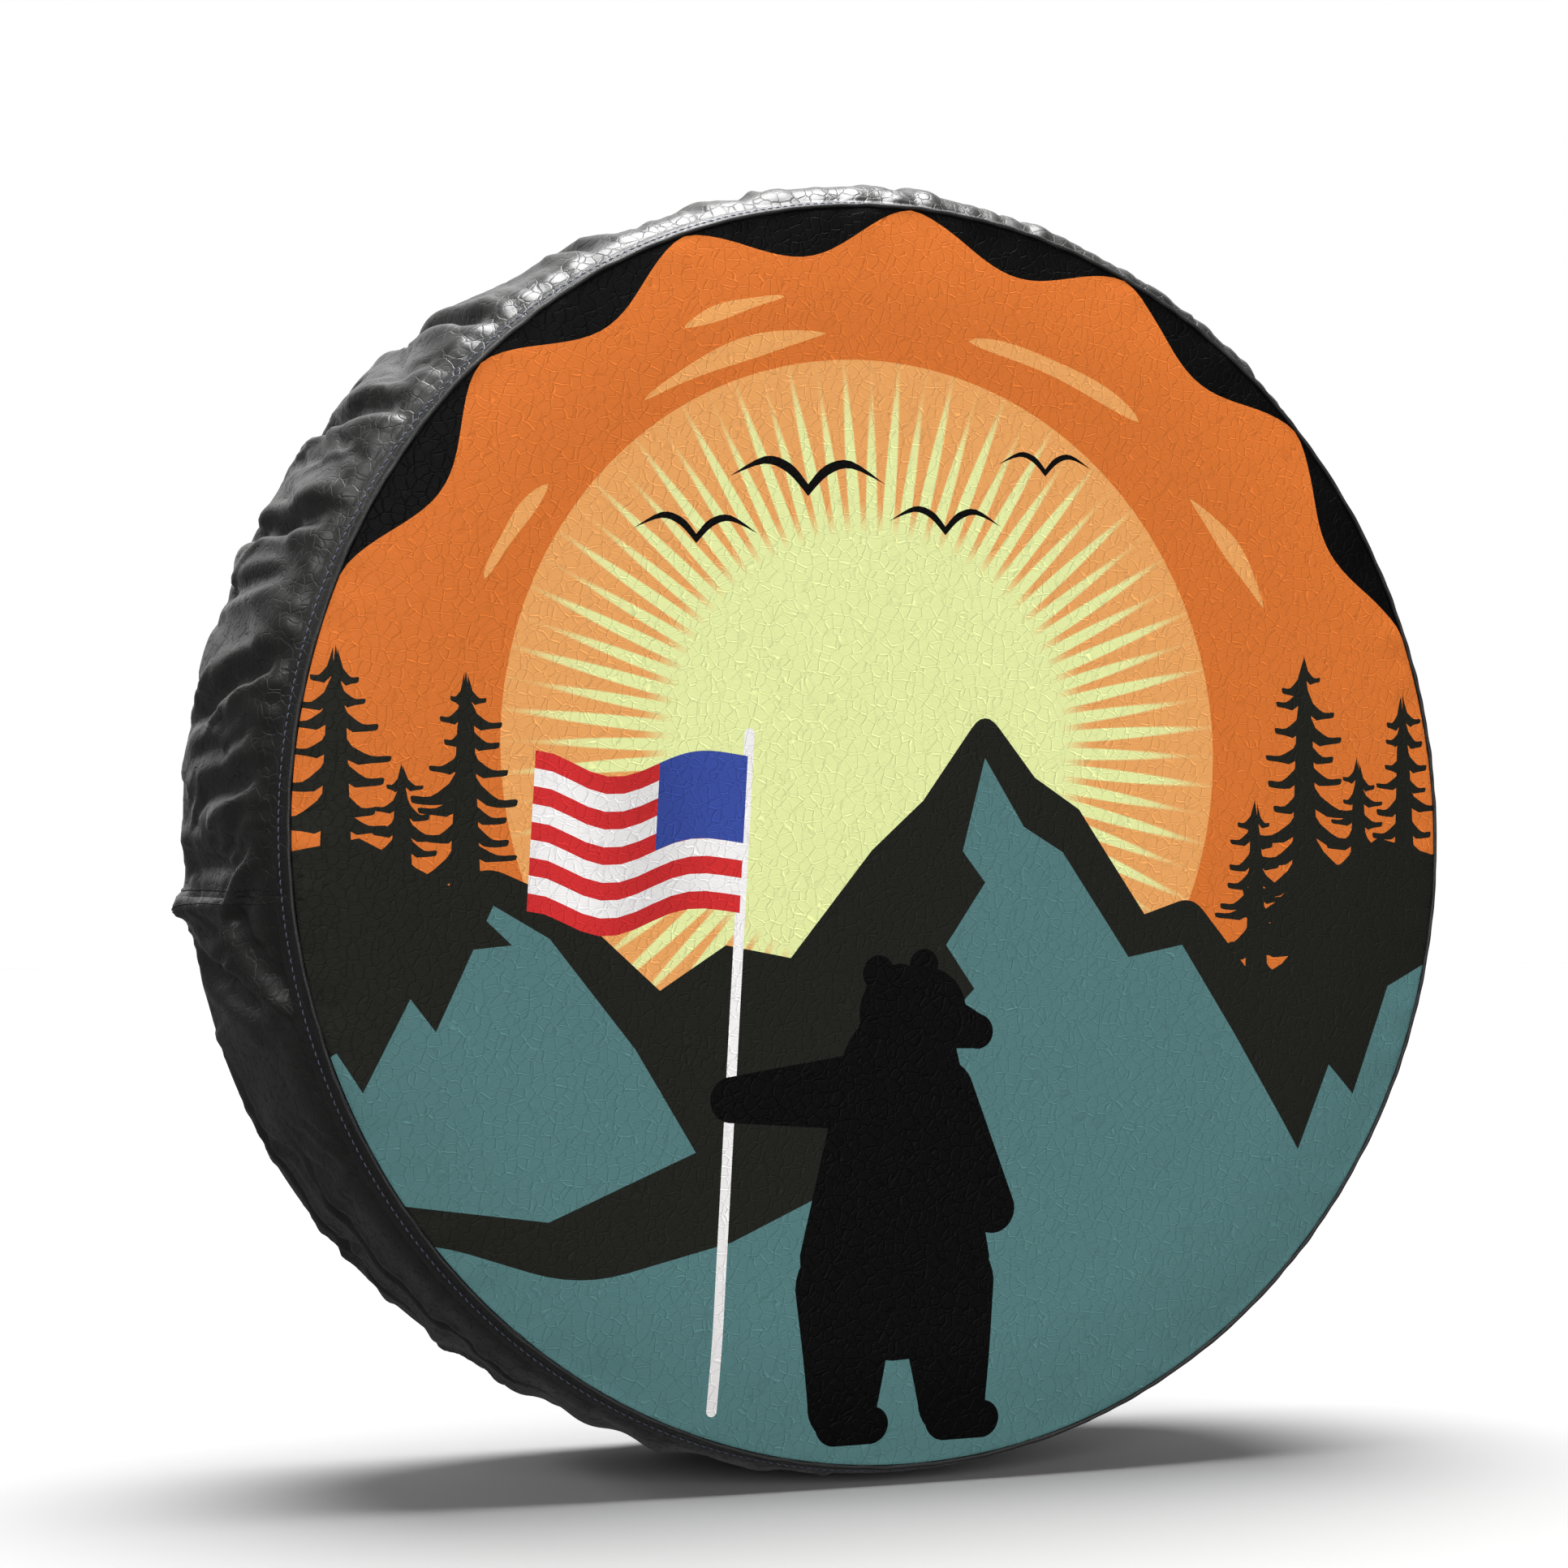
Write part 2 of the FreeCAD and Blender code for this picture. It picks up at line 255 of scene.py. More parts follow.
def leather(name, colour, roughness, cell=8.5 * MM, depth=0.30, painted_highlight=0.5):
    """Black leatherette whose grain follows the cloth's own coordinates; painted shade in its creases,
    painted highlights beside them.
    """
    n = Nodes(name, IOR=1.45, Specular_IOR_Level=0.5)
    where = n.attribute("rest")["Vector"]
    height, crease, edge = leather_grain(n, where, cell)
    blotch = n.noise(where, 18.0, 3.0)
    tone = n.math("MULTIPLY_ADD", n.ramp(blotch, 0.3, 0.7), 0.35, 0.82)
    # painted shade: the colour darkens by up to a quarter in the creases
    shade = n.math("MULTIPLY", tone, n.ramp(crease, 0.0, 1.0, 0.75, 1.0))
    # painted highlight: the colour is lightened on one side of each crease
    shade = n.math("MULTIPLY_ADD", n.math("MAXIMUM", edge, 0.0), painted_highlight, shade)
    rough = n.math("MULTIPLY_ADD", n.ramp(blotch, 0.35, 0.7), 0.10, roughness)
    n.put(n.shader.inputs["Roughness"], n.math("MULTIPLY_ADD", n.math("SUBTRACT", 1.0, crease), 0.18, rough))
    n.bump(height, depth * MM, 0.75)
    return n.finish(colour, shade)


# ---------------------------------------------------------------- mesh helpers
def add_mesh(name, points, faces, materials=(), slots=None, rest=None):
    """A smooth-shaded mesh object. faces is a list of index arrays, one for each kind of polygon."""
    mesh = bpy.data.meshes.new(name)
    polygons = [row for group in faces for row in np.asarray(group).tolist()]
    mesh.from_pydata(np.asarray(points, float).reshape(-1, 3), [], polygons)
    mesh.polygons.foreach_set("use_smooth", np.ones(len(polygons), bool))
    for material in materials:
        mesh.materials.append(material)
    if slots is not None:
        mesh.polygons.foreach_set("material_index", np.asarray(slots, np.int32))
    if rest is not None:
        store = mesh.attributes.new("rest", "FLOAT_VECTOR", "POINT")
        store.data.foreach_set("vector", np.asarray(rest, np.float32).ravel())
    mesh.update()
    item = bpy.data.objects.new(name, mesh)
    bpy.context.scene.collection.objects.link(item)
    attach(item, "root")
    return item


def grid_faces(cols, rows, closed_cols=False, closed_rows=False, first=0):
    """Quads between the points of a grid that is stored column by column."""
    index = first + np.arange(cols * rows).reshape(cols, rows)
    if closed_cols:
        index = np.concatenate([index, index[:1]])
    if closed_rows:
        index = np.concatenate([index, index[:, :1]], axis=1)
    corners = [index[:-1, :-1], index[1:, :-1], index[1:, 1:], index[:-1, 1:]]
    return np.stack(corners, -1).reshape(-1, 4)


def unit(v):
    return v / np.maximum(np.linalg.norm(v, axis=-1, keepdims=True), 1e-12)


def grid_normals(points, closed=True):
    """Outward normals of a sheet of points, columns by rows."""
    wide = np.concatenate([points[-1:], points, points[:1]]) if closed else points
    across = np.gradient(wide, axis=0)
    across = across[1:-1] if closed else across
    return unit(np.cross(np.gradient(points, axis=1), across))


def wander(theta, seed, waves):
    """A smooth random curve round the circle, about 1 in size."""
    draw = np.random.default_rng(seed)
    out = np.zeros_like(theta)
    for k in range(1, waves + 1):
        out += draw.normal() * np.sin(k * theta + draw.uniform(0, TAU))
    return out / math.sqrt(waves / 2)


def smooth_curve(points, closed=True, steps=6):
    """Points on a smooth curve through the given ones."""
    p = np.asarray(points, float)
    before, after, beyond = np.roll(p, 1, 0), np.roll(p, -1, 0), np.roll(p, -2, 0)
    if not closed:
        before[0], after[-1], beyond[-1], beyond[-2] = p[0], p[-1], p[-1], p[-1]
    t = (np.arange(steps) / steps)[None, :, None]
    a, b, c, d = (x[:, None] for x in (before, p, after, beyond))
    curve = 0.5 * (2 * b + (c - a) * t + (2 * a - 5 * b + 4 * c - d) * t**2 + (3 * b - a - 3 * c + d) * t**3)
    out = curve.reshape(-1, p.shape[1])
    return out if closed else np.vstack([out[:-steps], p[-1:]])


# ---------------------------------------------------------------- the side band as cloth
STRIP = 2.40  # both strips together before they are gathered
GATHERS = 74  # waves of the gathered hem
SLACK = 1.02  # the strip is this much deeper than the way over the tire
SEAM_STEP = 8.9 * MM  # the seam lies this far inside the band's largest radius
BAND_SEAM = (BAND_RADIUS - SEAM_STEP, SEAM_Y + 3.0 * MM)
TIRE_RADIUS, TIRE_HALF, TIRE_ROUND = 359.2 * MM, 107.5 * MM, 42 * MM


def band_profile():
    """The band's way over the tire as (radius, depth), from the seam to the mouth."""
    slope, bend = 39 * MM, 44 * MM  # how deep the sloped front is, and the radius of the bend at the rear
    depth = np.linspace(0, slope, 12)
    front = [(BAND_RADIUS - SEAM_STEP * ((slope - d) / slope) ** 2, BAND_SEAM[1] + d) for d in depth]
    turn = np.linspace(0, math.pi / 2, 24)
    rear = [(BAND_RADIUS - bend * (1 - math.cos(a)), HEM_MIDDLE_Y - bend * (1 - math.sin(a))) for a in turn]
    return np.array(front + rear + [(MOUTH_RADIUS, HEM_MIDDLE_Y)])


PROFILE = band_profile()
PROFILE_LENGTHS = np.r_[0, np.cumsum(np.hypot(*np.diff(PROFILE, axis=0).T))]
BAND_LENGTH = PROFILE_LENGTHS[-1]
HEM_START = BAND_LENGTH - (CASING_RADIUS - MOUTH_RADIUS)


def along_profile(s):
    """Radius and depth at a way along the band."""
    return tuple(np.interp(s, PROFILE_LENGTHS, PROFILE[:, k]) for k in (0, 1))


def pull(a, b, free_a, free_b, rest, stiff, push_only=False):
    """Moves two sets of the sheet's points to be rest apart, or at least that with push_only."""
    d = b - a
    length = np.sqrt(np.einsum("kij,kij->ij", d, d))
    share = (length - rest) / length * stiff / np.maximum(free_a + free_b, 1e-6)
    if push_only:
        np.minimum(share, 0, out=share)
    a += d * (share * free_a)
    b -= d * (share * free_b)


def relax(p, free, du, dv, stretch, bend):
    """One pass over every other link across the sheet, and over the links along it."""
    even, odd = p[:, 0::2], p[:, 1::2]
    diagonal = np.sqrt(du * du + dv[0::2, None] ** 2)
    pull(even, odd, free, free, du, 1.0)
    pull(even[:, :, :-1], odd[:, :, 1:], free[:-1], free[1:], diagonal, stretch)
    pull(even[:, :, 1:], odd[:, :, :-1], free[1:], free[:-1], diagonal, stretch)

    def rows(gap, start, rest, stiff, push_only):
        a, b = p[:, :, start:-gap:2 * gap], p[:, :, start + gap::2 * gap]
        n = min(a.shape[2], b.shape[2])
        fa, fb = free[start:-gap:2 * gap][:n], free[start + gap::2 * gap][:n]
        pull(a[:, :, :n], b[:, :, :n], fa, fb, rest, stiff, push_only)

    for start in (0, 1):
        rows(1, start, dv[:, None], 1.0, False)
    for start in range(4):
        rows(2, start, 2 * dv[:, None], bend, True)
    for start in (0, 1):
        pull(p[:, start::4], p[:, start + 2::4], free, free, 2 * du, bend, True)


def keep_off_tire(p, old, cap):
    """Keeps points outside the tire, a drum with round shoulders, and inside a loose skin round it."""
    r = np.hypot(p[0], p[2])
    across = r - (TIRE_RADIUS - TIRE_ROUND)
    beyond = np.abs(p[1]) - (TIRE_HALF - TIRE_ROUND)
    out = np.hypot(np.maximum(across, 0), np.maximum(beyond, 0))
    depth = out + np.minimum(np.maximum(across, beyond), 0) - TIRE_ROUND
    length = np.maximum(out, 1e-6)
    normal_r = np.where(out > 0, np.maximum(across, 0) / length, across > beyond)
    normal_y = np.where(out > 0, np.maximum(beyond, 0) / length, across <= beyond) * np.sign(p[1])
    push = np.maximum(-depth, 0) - np.maximum(depth - cap, 0) * 0.3
    p += (old - p) * (0.3 * (depth < 0))
    p[0] += push * normal_r * p[0] / r
    p[2] += push * normal_r * p[2] / r
    p[1] += push * normal_y


def finer(p):
    """The sheet with twice the columns and rows, on smooth curves through its points."""
    _, cols, rows = p.shape
    wide = np.empty((3, 2 * cols, rows), np.float32)
    wide[:, 0::2] = p
    wide[:, 1::2] = (9 * (p + np.roll(p, -1, 1)) - np.roll(p, 1, 1) - np.roll(p, -2, 1)) / 16
    out = np.empty((3, 2 * cols, 2 * rows - 1), np.float32)
    out[:, :, 0::2] = wide
    out[:, :, 1::2] = (wide[:, :, 1:] + wide[:, :, :-1]) / 2
    out[:, :, 3:-3:2] = (9 * (wide[:, :, 1:-2] + wide[:, :, 2:-1]) - wide[:, :, :-3] - wide[:, :, 3:]) / 16
    return out


def rumpled_start(theta, s, turn, noise, seed):
    """The strip laid on its way over the tire, with small random waves."""
    draw = np.random.default_rng(seed)
    share = s / BAND_LENGTH
    bump = np.zeros((len(theta), len(s)))
    for _ in range(60):
        waves, slope = draw.integers(8, 48), draw.uniform(0.5, 6)
        phase = waves * theta[:, None] + slope * math.pi * share + draw.uniform(0, TAU)
        bump += draw.normal() * np.sin(phase)
    bump *= noise * np.sin(np.pi * share)
    radius, depth = along_profile(s)
    angle = (JOIN_ANGLE + theta)[:, None] + turn[:, None] * share
    return polar(radius + bump, angle, depth + bump * (share > 0.75))


def polar(radius, angle, depth):
    """The x, y and z of places given round the wheel's axis."""
    parts = np.broadcast_arrays(radius * np.cos(angle), depth, radius * np.sin(angle))
    return np.stack(parts).astype(np.float32)


def simulate_band(levels, twist, cap, noise, seed):
    """Cloth made of points and links: both strips sewn into a ring, drawn in at the seam and the hem."""
    p = None
    for cols, rows, steps, passes, bend, stretch in levels:
        theta = TAU * np.arange(cols) / cols
        s = np.linspace(0, BAND_LENGTH, rows)
        turn = twist / BAND_RADIUS * np.sin(theta - math.pi)
        p = rumpled_start(theta, s, turn, noise, seed) if p is None else finer(p)
        slack = SLACK + 0.012 * wander(theta, 3, 5)
        dv = (BAND_LENGTH / (rows - 1) * slack).astype(np.float32)
        du = np.float32(STRIP / cols)
        hem = s >= HEM_START - 1e-6
        angle = JOIN_ANGLE + theta
        swing = 5.2 * MM * (1 + 0.2 * wander(theta, 6, 26))
        wave = swing * np.sin(GATHERS * theta + 2.2 * wander(theta, 5, 14))
        hem_target = polar(along_profile(s)[0][hem], (angle + turn)[:, None], (HEM_MIDDLE_Y + wave)[:, None])
        seam_target = polar(BAND_SEAM[0], angle, BAND_SEAM[1])
        free = np.ones(rows, np.float32)
        free[0] = 0
        free[hem] = 0
        hem_start, seam_start = p[:, :, hem].copy(), p[:, :, 0].copy()
        loose = np.interp(s / BAND_LENGTH, [0, 0.1, 0.45, 1], [2 * MM, cap[0], cap[1], cap[1]])
        loose = (loose * (1 + 0.35 * wander(theta, 21, 40)[:, None]).clip(0.4, 2)).astype(np.float32)
        moving = slice(1, rows - int(hem.sum()))
        speed = np.zeros_like(p)
        for step in range(steps):
            old = p.copy()
            p += 0.9 * speed
            share = min(1, (step + 1) / (steps * 0.4))
            p[:, :, hem] = hem_start + (hem_target - hem_start) * share
            p[:, :, 0] = seam_start + (seam_target - seam_start) * share
            for _ in range(passes):
                relax(p, free, du, dv, stretch, bend)
                p, dv = np.roll(p, -1, 1), np.roll(dv, -1)
            p, dv = np.roll(p, passes, 1), np.roll(dv, passes)
            keep_off_tire(p[:, :, moving], old[:, :, moving], loose[:, moving])
            speed = np.clip((p - old) * free, -3 * MM, 3 * MM)
    return p.transpose(1, 2, 0).astype(float)


LEVELS = ((224, 26, 140, 16, 0.30, 0.5), (448, 51, 60, 16, 0.15, 0.5), (896, 101, 30, 16, 0.08, 0.4))
BAND = simulate_band(LEVELS, 22 * MM, (11 * MM, 14 * MM), 2 * MM, 4)
COLS, ROWS = BAND.shape[:2]
HALF = COLS // 2
THETA = TAU * np.arange(COLS) / COLS  # measured from the right join, counterclockwise from the front


def rows_at(sheet, s):
    """The sheet's points at the given ways along it, on smooth curves through its rows."""
    at = np.clip(np.asarray(s) / BAND_LENGTH * (ROWS - 1), 0, ROWS - 1)
    low = np.minimum(at.astype(int), ROWS - 2)
    t = (at - low)[None, :, None]
    a, b, c, d = (sheet[:, np.clip(low + k, 0, ROWS - 1)] for k in (-1, 0, 1, 2))
    return 0.5 * (2 * b + (c - a) * t + (2 * a - 5 * b + 4 * c - d) * t**2 + (3 * b - a - 3 * c + d) * t**3)


def way_round(columns):
    """How far round the unsewn strip each column is."""
    return STRIP * np.asarray(columns) / COLS


def rest_of(columns, s):
    """The flat strip's own coordinates, for its grain."""
    across, along = np.meshgrid(way_round(columns), s, indexing="ij")
    return np.stack([across, along, np.zeros_like(across)], -1).reshape(-1, 3)


ROUND_EDGE = np.radians([45, 90, 135])


def rim_loop(cols, rows):
    """The rim of a grid: its points, and the points one step in from them."""
    index = np.arange(cols * rows).reshape(cols, rows)
    rim = np.r_[index[:, 0], index[-1, 1:], index[-2::-1, -1], index[0, -2:0:-1]]
    inside = index[1:-1, 1:-1]
    col, row = np.divmod(rim, rows)
    step_in = inside[np.clip(col, 1, cols - 2) - 1, np.clip(row, 1, rows - 2) - 1]
    return rim, step_in


def thick_sheet(name, outer, thickness, rest, materials):
    """A closed cloth solid: outer and inner skins with rounded edges."""
    cols, rows = outer.shape[:2]
    skin = outer.reshape(-1, 3)
    back = (outer - grid_normals(outer, closed=False) * thickness[..., None]).reshape(-1, 3)
    count = cols * rows
    rim, step_in = rim_loop(cols, rows)
    middle, half = (skin[rim] + back[rim]) / 2, (skin[rim] - back[rim]) / 2
    away = unit(skin[rim] - skin[step_in]) * np.linalg.norm(half, axis=1, keepdims=True)
    edge = np.stack([middle + half * math.cos(a) + away * math.sin(a) for a in ROUND_EDGE], 1)
    ring = 2 * count + np.arange(len(rim) * len(ROUND_EDGE)).reshape(len(rim), -1)
    ring = np.column_stack([rim, ring, rim + count])
    ring = np.vstack([ring, ring[:1]])
    quads = np.stack([ring[:-1, :-1], ring[1:, :-1], ring[1:, 1:], ring[:-1, 1:]], -1).reshape(-1, 4)
    skins = [grid_faces(cols, rows), grid_faces(cols, rows, first=count)[:, ::-1]]
    slots = [0] * len(skins[0]) + [1] * len(skins[1]) + [0] * len(quads)
    points = np.vstack([skin, back, edge.reshape(-1, 3)])
    rests = np.vstack([rest, rest, np.repeat(rest[rim], len(ROUND_EDGE), axis=0)])
    return add_mesh(name, points, skins + [quads], materials, slots, rests)


def face_outward(item):
    """Turns every polygon of a closed mesh to look out."""
    work = bmesh.new()
    work.from_mesh(item.data)
    bmesh.ops.recalc_face_normals(work, faces=work.faces)
    work.to_mesh(item.data)
    work.free()
    return item


def smoothed(values, rounds=2):
    """Values along a closed path with their smallest ripples taken out."""
    for _ in range(rounds):
        values = (np.roll(values, 1, 0) + 2 * values + np.roll(values, -1, 0)) / 4
    return values


FINE_ROWS = np.arange(0, 14.01, 0.875) * MM
BAND_ROWS = np.r_[FINE_ROWS, np.arange(17 * MM, BAND_LENGTH - 20 * MM, BAND_LENGTH / (ROWS - 1))]


def strip_way(angle):
    """How far along the unsewn strips an angle in degrees is."""
    return (angle - math.degrees(JOIN_ANGLE)) * STRIP / 360


def ridge(sheet_u, sheet_s, start, end, height, width):
    """A fold from one (degrees round, mm along) to another: its height over the sheet."""
    a, b = (np.array([strip_way(angle), way * MM]) for angle, way in (start, end))
    line = b - a
    length = np.linalg.norm(line)
    u, s = sheet_u - a[0], sheet_s - a[1]
    share = (u * line[0] + s * line[1]) / length**2
    off = (u * line[1] - s * line[0]) / length / (width * MM)
    ends = np.clip(share * 4, 0, 1) * np.clip((1 - share) * 4, 0, 1)
    ends = ends * ends * (3 - 2 * ends)
    return height * MM * ends * (1 - off**2) * np.exp(-off**2 / 2)


def pointed_fold(sheet_u, sheet_s, angle, way, height):
    """A small peak that the folds round it run up to."""
    off = np.hypot((sheet_u - strip_way(angle)) / (8 * MM), (sheet_s - way * MM) / (22 * MM))
    return height * MM * np.exp(-off)


def creases(sheet_u, sheet_s, count, seed):
    """Small tight folds that run roughly from the seam towards the hem, at places drawn at random."""
    draw = np.random.default_rng(seed)
    lift = np.zeros(np.broadcast_shapes(sheet_u.shape, sheet_s.shape))
    for _ in range(count):
        angle, way = draw.uniform(8, 364), draw.uniform(8, 150)
        end = (angle + draw.normal() * 3.5, way + draw.uniform(30, 90))
        height = draw.uniform(0.5, 1.5) * draw.choice([-1.2, 1.0])
        near = np.abs(sheet_u[:, 0] - strip_way(angle)) < 120 * MM
        lift[near] += ridge(sheet_u[near], sheet_s, (angle, way), end, height, draw.uniform(3.6, 5.5))
    return lift


def loose_cloth(s):
    """How far the band stands off its own way over the tire, more on the left and top than where it rests."""
    angle = THETA + JOIN_ANGLE
    top = np.clip((np.sin(angle) - 0.3) / 0.5, 0, 1)
    out = (4.8 + 3.6 * top) * MM + 1.5 * MM * wander(THETA, 41, 12)
    resting = np.clip((np.cos(angle + math.pi / 2) - 0.35) / 0.5, 0, 1)
    out = np.clip(out, 1 * MM, 11 * MM) * (1 - resting)
    rise = np.clip((s - 8 * MM) / (19 * MM), 0, 1)
    fall = np.clip((255 * MM - s) / (60 * MM), 0, 1)
    return out[:, None] * (rise * (2 - rise)) * fall * fall * (3 - 2 * fall)


def band_surface():
    """The sewn band's outer skin: the cloth, with its worked folds, stitch line and joins."""
    sheet = rows_at(BAND, BAND_ROWS)
    s = BAND_ROWS[None]
    calm = 0.65 * np.clip((215 * MM - s) / (70 * MM), 0, 1)[..., None]
    sheet = sheet * (1 - calm) + smoothed(sheet, rounds=70) * calm
    normals = grid_normals(sheet)
    u = way_round(np.arange(COLS))[:, None]
    lift = np.zeros(sheet.shape[:2])
    for fold in FOLDS:
        lift += ridge(u, s, *fold)
    lift += loose_cloth(s) + pointed_fold(u, s, *TIP) + creases(u, s, 190, 9)
    stitched = np.exp(-((s - TOPSTITCH_WAY) / (1.6 * MM)) ** 2)
    lift -= 0.9 * MM * stitched
    lift += 0.5 * MM * np.exp(-((s - 3.2 * MM) / (2.4 * MM)) ** 2)
    for join in (0, HALF, COLS):
        off = np.abs(u - way_round(join))
        lift += 0.35 * MM * np.clip((14 * MM - off) / (6 * MM), 0, 1)
    sheet = sheet + normals * lift[..., None]
    nominal = along_profile(BAND_ROWS)[0]
    least = np.where(BAND_ROWS < 15 * MM, nominal - 0.4 * MM, 0)
    radius = np.hypot(sheet[..., 0], sheet[..., 2])
    grow = np.maximum(least / radius, 1)
    sheet[..., 0] *= grow
    sheet[..., 2] *= grow
    sheet[..., 1] -= 1.1 * MM * np.clip(1 - s / (3.5 * MM), 0, 1)  # its edge lies against the welt's bead
    below = FLOOR_Z + 3 * MM - sheet[..., 2]
    sheet[..., 2] = np.where(below > 0, FLOOR_Z + 3 * MM * np.exp(-below / (3 * MM)), sheet[..., 2])
    return sheet


TOPSTITCH_WAY = 6.5 * MM
FOLDS = (
    # from (degrees round, mm from the seam) to (the same), height and width in mm; a groove is below 0
    ((186.8, 196), (187.2, 70), 5.0, 8),
    ((187.0, 96), (197.5, 4), 6.0, 8),
    ((187.4, 90), (182.6, 24), 4.5, 7),
    ((183.0, 190), (183.4, 60), -4.5, 8),
    ((190.5, 185), (196.5, 45), -5.5, 9),
    ((199.0, 165), (231.0, 120), -2.6, 6),
    ((204.0, 95), (243.0, 62), -2.2, 5),
    ((130.4, 8), (131.6, 210), -7.0, 8),
    ((141.6, 10), (142.8, 205), -6.5, 8),
    ((152.8, 12), (153.9, 205), -7.0, 8),
    ((158.9, 45), (159.5, 190), -3.5, 6),
    ((165.5, 6), (171.5, 190), -5.5, 9),
    ((175.5, 12), (178.5, 150), -4.5, 8),
    ((118.0, 10), (119.0, 205), -6.0, 8),
    ((104.0, 12), (102.5, 190), -5.0, 8),
    ((88.0, 8), (90.5, 190), -4.5, 8),
    ((73.0, 12), (71.5, 190), -5.0, 8),
)
TIP = (186.8, 186, 9.0)  # a pointed fold: degrees round, mm from the seam, height in mm


SURFACE = band_surface()
SURFACE_NORMALS = grid_normals(SURFACE)


def side_band():
    """The two strips, each with its folded-in allowances at the seam and the joins."""
    for half, first in (("upper", 0), ("lower", HALF)):
        columns = np.arange(first, first + HALF + 1)
        outer = SURFACE[columns % COLS]
        near_join = np.minimum(columns - first, first + HALF - columns) * STRIP / COLS < 11 * MM
        thickness = np.where(BAND_ROWS < 9 * MM, 1.9 * MM, 1.0 * MM)[None].repeat(len(columns), 0)
        thickness[near_join] = 1.9 * MM
        outer = trimmed_ends(outer)
        rest = rest_of(columns, BAND_ROWS)
        piece = thick_sheet(f"{half}_band_strip", outer, thickness, rest, (LEATHER, KNIT))
        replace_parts(face_outward(piece), f"side_band_{half}")


def trimmed_ends(outer):
    """The strip with its two end columns drawn back a little and turned in, so that a join shows a groove."""
    outer = outer.copy()
    normals = grid_normals(outer, closed=False)
    for end, inner in ((0, 1), (-1, -2)):
        outer[end] += (outer[inner] - outer[end]) * 0.06 - normals[end] * 0.15 * MM
    return outer


def seam_welt():
    """The welt's bead and its tail, sewn round between the face and the band."""
    around = TAU * np.arange(COLS) / COLS + JOIN_ANGLE
    tail_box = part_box("seam_welt")
    bead, tail = 1.3 * MM, 0.6 * MM
    middle_r, middle_y = tail_box[1][0] - bead, tail_box[0][1] + bead
    arc = np.radians(np.linspace(118, -208, 13))
    section = [(bead * math.cos(a), bead * math.sin(a)) for a in arc]
    end_y = tail_box[1][1] - middle_y
    low = -1.1 * MM
    section += [(low, end_y * 0.5), (low, end_y), (low + tail, end_y), (low + tail, end_y * 0.5)]
    section = np.array(section)
    pucker = 0.16 * MM * wander(around, 12, 150) + 0.12 * MM * wander(around, 13, 30)
    on_bead = np.arange(len(section)) < len(arc)
    radius = middle_r + section[None, :, 0] * (1 + 0.05 * wander(around, 14, 200)[:, None] * on_bead)
    radius = radius + pucker[:, None] * on_bead
    depth = middle_y + section[None, :, 1] + 0.12 * MM * wander(around, 15, 120)[:, None] * on_bead
    points = polar(radius, around[:, None], depth).transpose(1, 2, 0)
    length = np.broadcast_to((around * middle_r)[:, None], radius.shape)
    turn = np.broadcast_to(np.arange(len(section))[None] * 0.7 * MM, radius.shape)
    rest = np.stack([length, turn, turn * 0], -1)
    faces = [grid_faces(COLS, len(section), True, True)]
    piece = add_mesh("welt_bead", points, faces, (WELT_LEATHER,), rest=rest.reshape(-1, 3))
    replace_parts(face_outward(piece), "seam_welt")


def resampled(path, normals, pitch, closed):
    """Where stitches lie on a path: for each stitch, points and normals along it."""
    if closed:
        path, normals = np.vstack([path, path[:1]]), np.vstack([normals, normals[:1]])
    lengths = np.r_[0, np.cumsum(np.linalg.norm(np.diff(path, axis=0), axis=1))]
    count = int(lengths[-1] / pitch)
    step = lengths[-1] / count
    at = (np.arange(count) + 0.5)[:, None] * step + STITCH_REACH[None] * step
    at = at % lengths[-1] if closed else np.clip(at, 0, lengths[-1])
    place = np.stack([np.interp(at, lengths, path[:, k]) for k in range(3)], -1)
    up = unit(np.stack([np.interp(at, lengths, normals[:, k]) for k in range(3)], -1))
    return place, up


STITCH_REACH = np.linspace(-0.40, 0.40, 7)  # along one pitch
STITCH_LIFT = np.array([-0.75, -0.05, 0.5, 0.66, 0.5, -0.05, -0.75])  # in thread radii
STITCH_FULL = np.array([0.45, 0.9, 1.0, 1.0, 1.0, 0.9, 0.45])
STITCH_SIDES = 6


def stitch_points(path, normals, pitch, radius, closed=True, slant=0.0):
    """Points of a row of separate stitches on a path, and the faces that join them."""
    place, up = resampled(path, normals, pitch, closed)
    ahead = unit(np.gradient(place, axis=1))
    side = unit(np.cross(ahead, up))
    place = place + up * (STITCH_LIFT * radius)[None, :, None] + side * (STITCH_REACH * slant)[None, :, None]
    angle = (TAU * np.arange(STITCH_SIDES) / STITCH_SIDES)[None, None, :, None]
    spread = (STITCH_FULL * radius)[None, :, None, None]
    ring = np.cos(angle) * up[:, :, None] + np.sin(angle) * side[:, :, None]
    points = place[:, :, None] + ring * spread
    stations = len(STITCH_REACH)
    one = grid_faces(stations, STITCH_SIDES, closed_rows=True)
    each = stations * STITCH_SIDES
    starts = np.arange(len(place)) * each
    quads = (one[None] + starts[:, None, None]).reshape(-1, 4)
    cap = np.arange(STITCH_SIDES)
    caps = np.concatenate([starts[:, None] + cap[::-1], starts[:, None] + cap + each - STITCH_SIDES])
    return points.reshape(-1, 3), quads, caps


def stitch_piece(node, name, rows, material):
    """One object of several rows of stitches. rows holds stitch_points results."""
    points, faces, first = [], [], 0
    for place, quads, caps in rows:
        faces += [quads + first, caps + first]
        points.append(place)
        first += len(place)
    piece = add_mesh(name, np.vstack(points), faces, (material,))
    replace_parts(face_outward(piece), node)


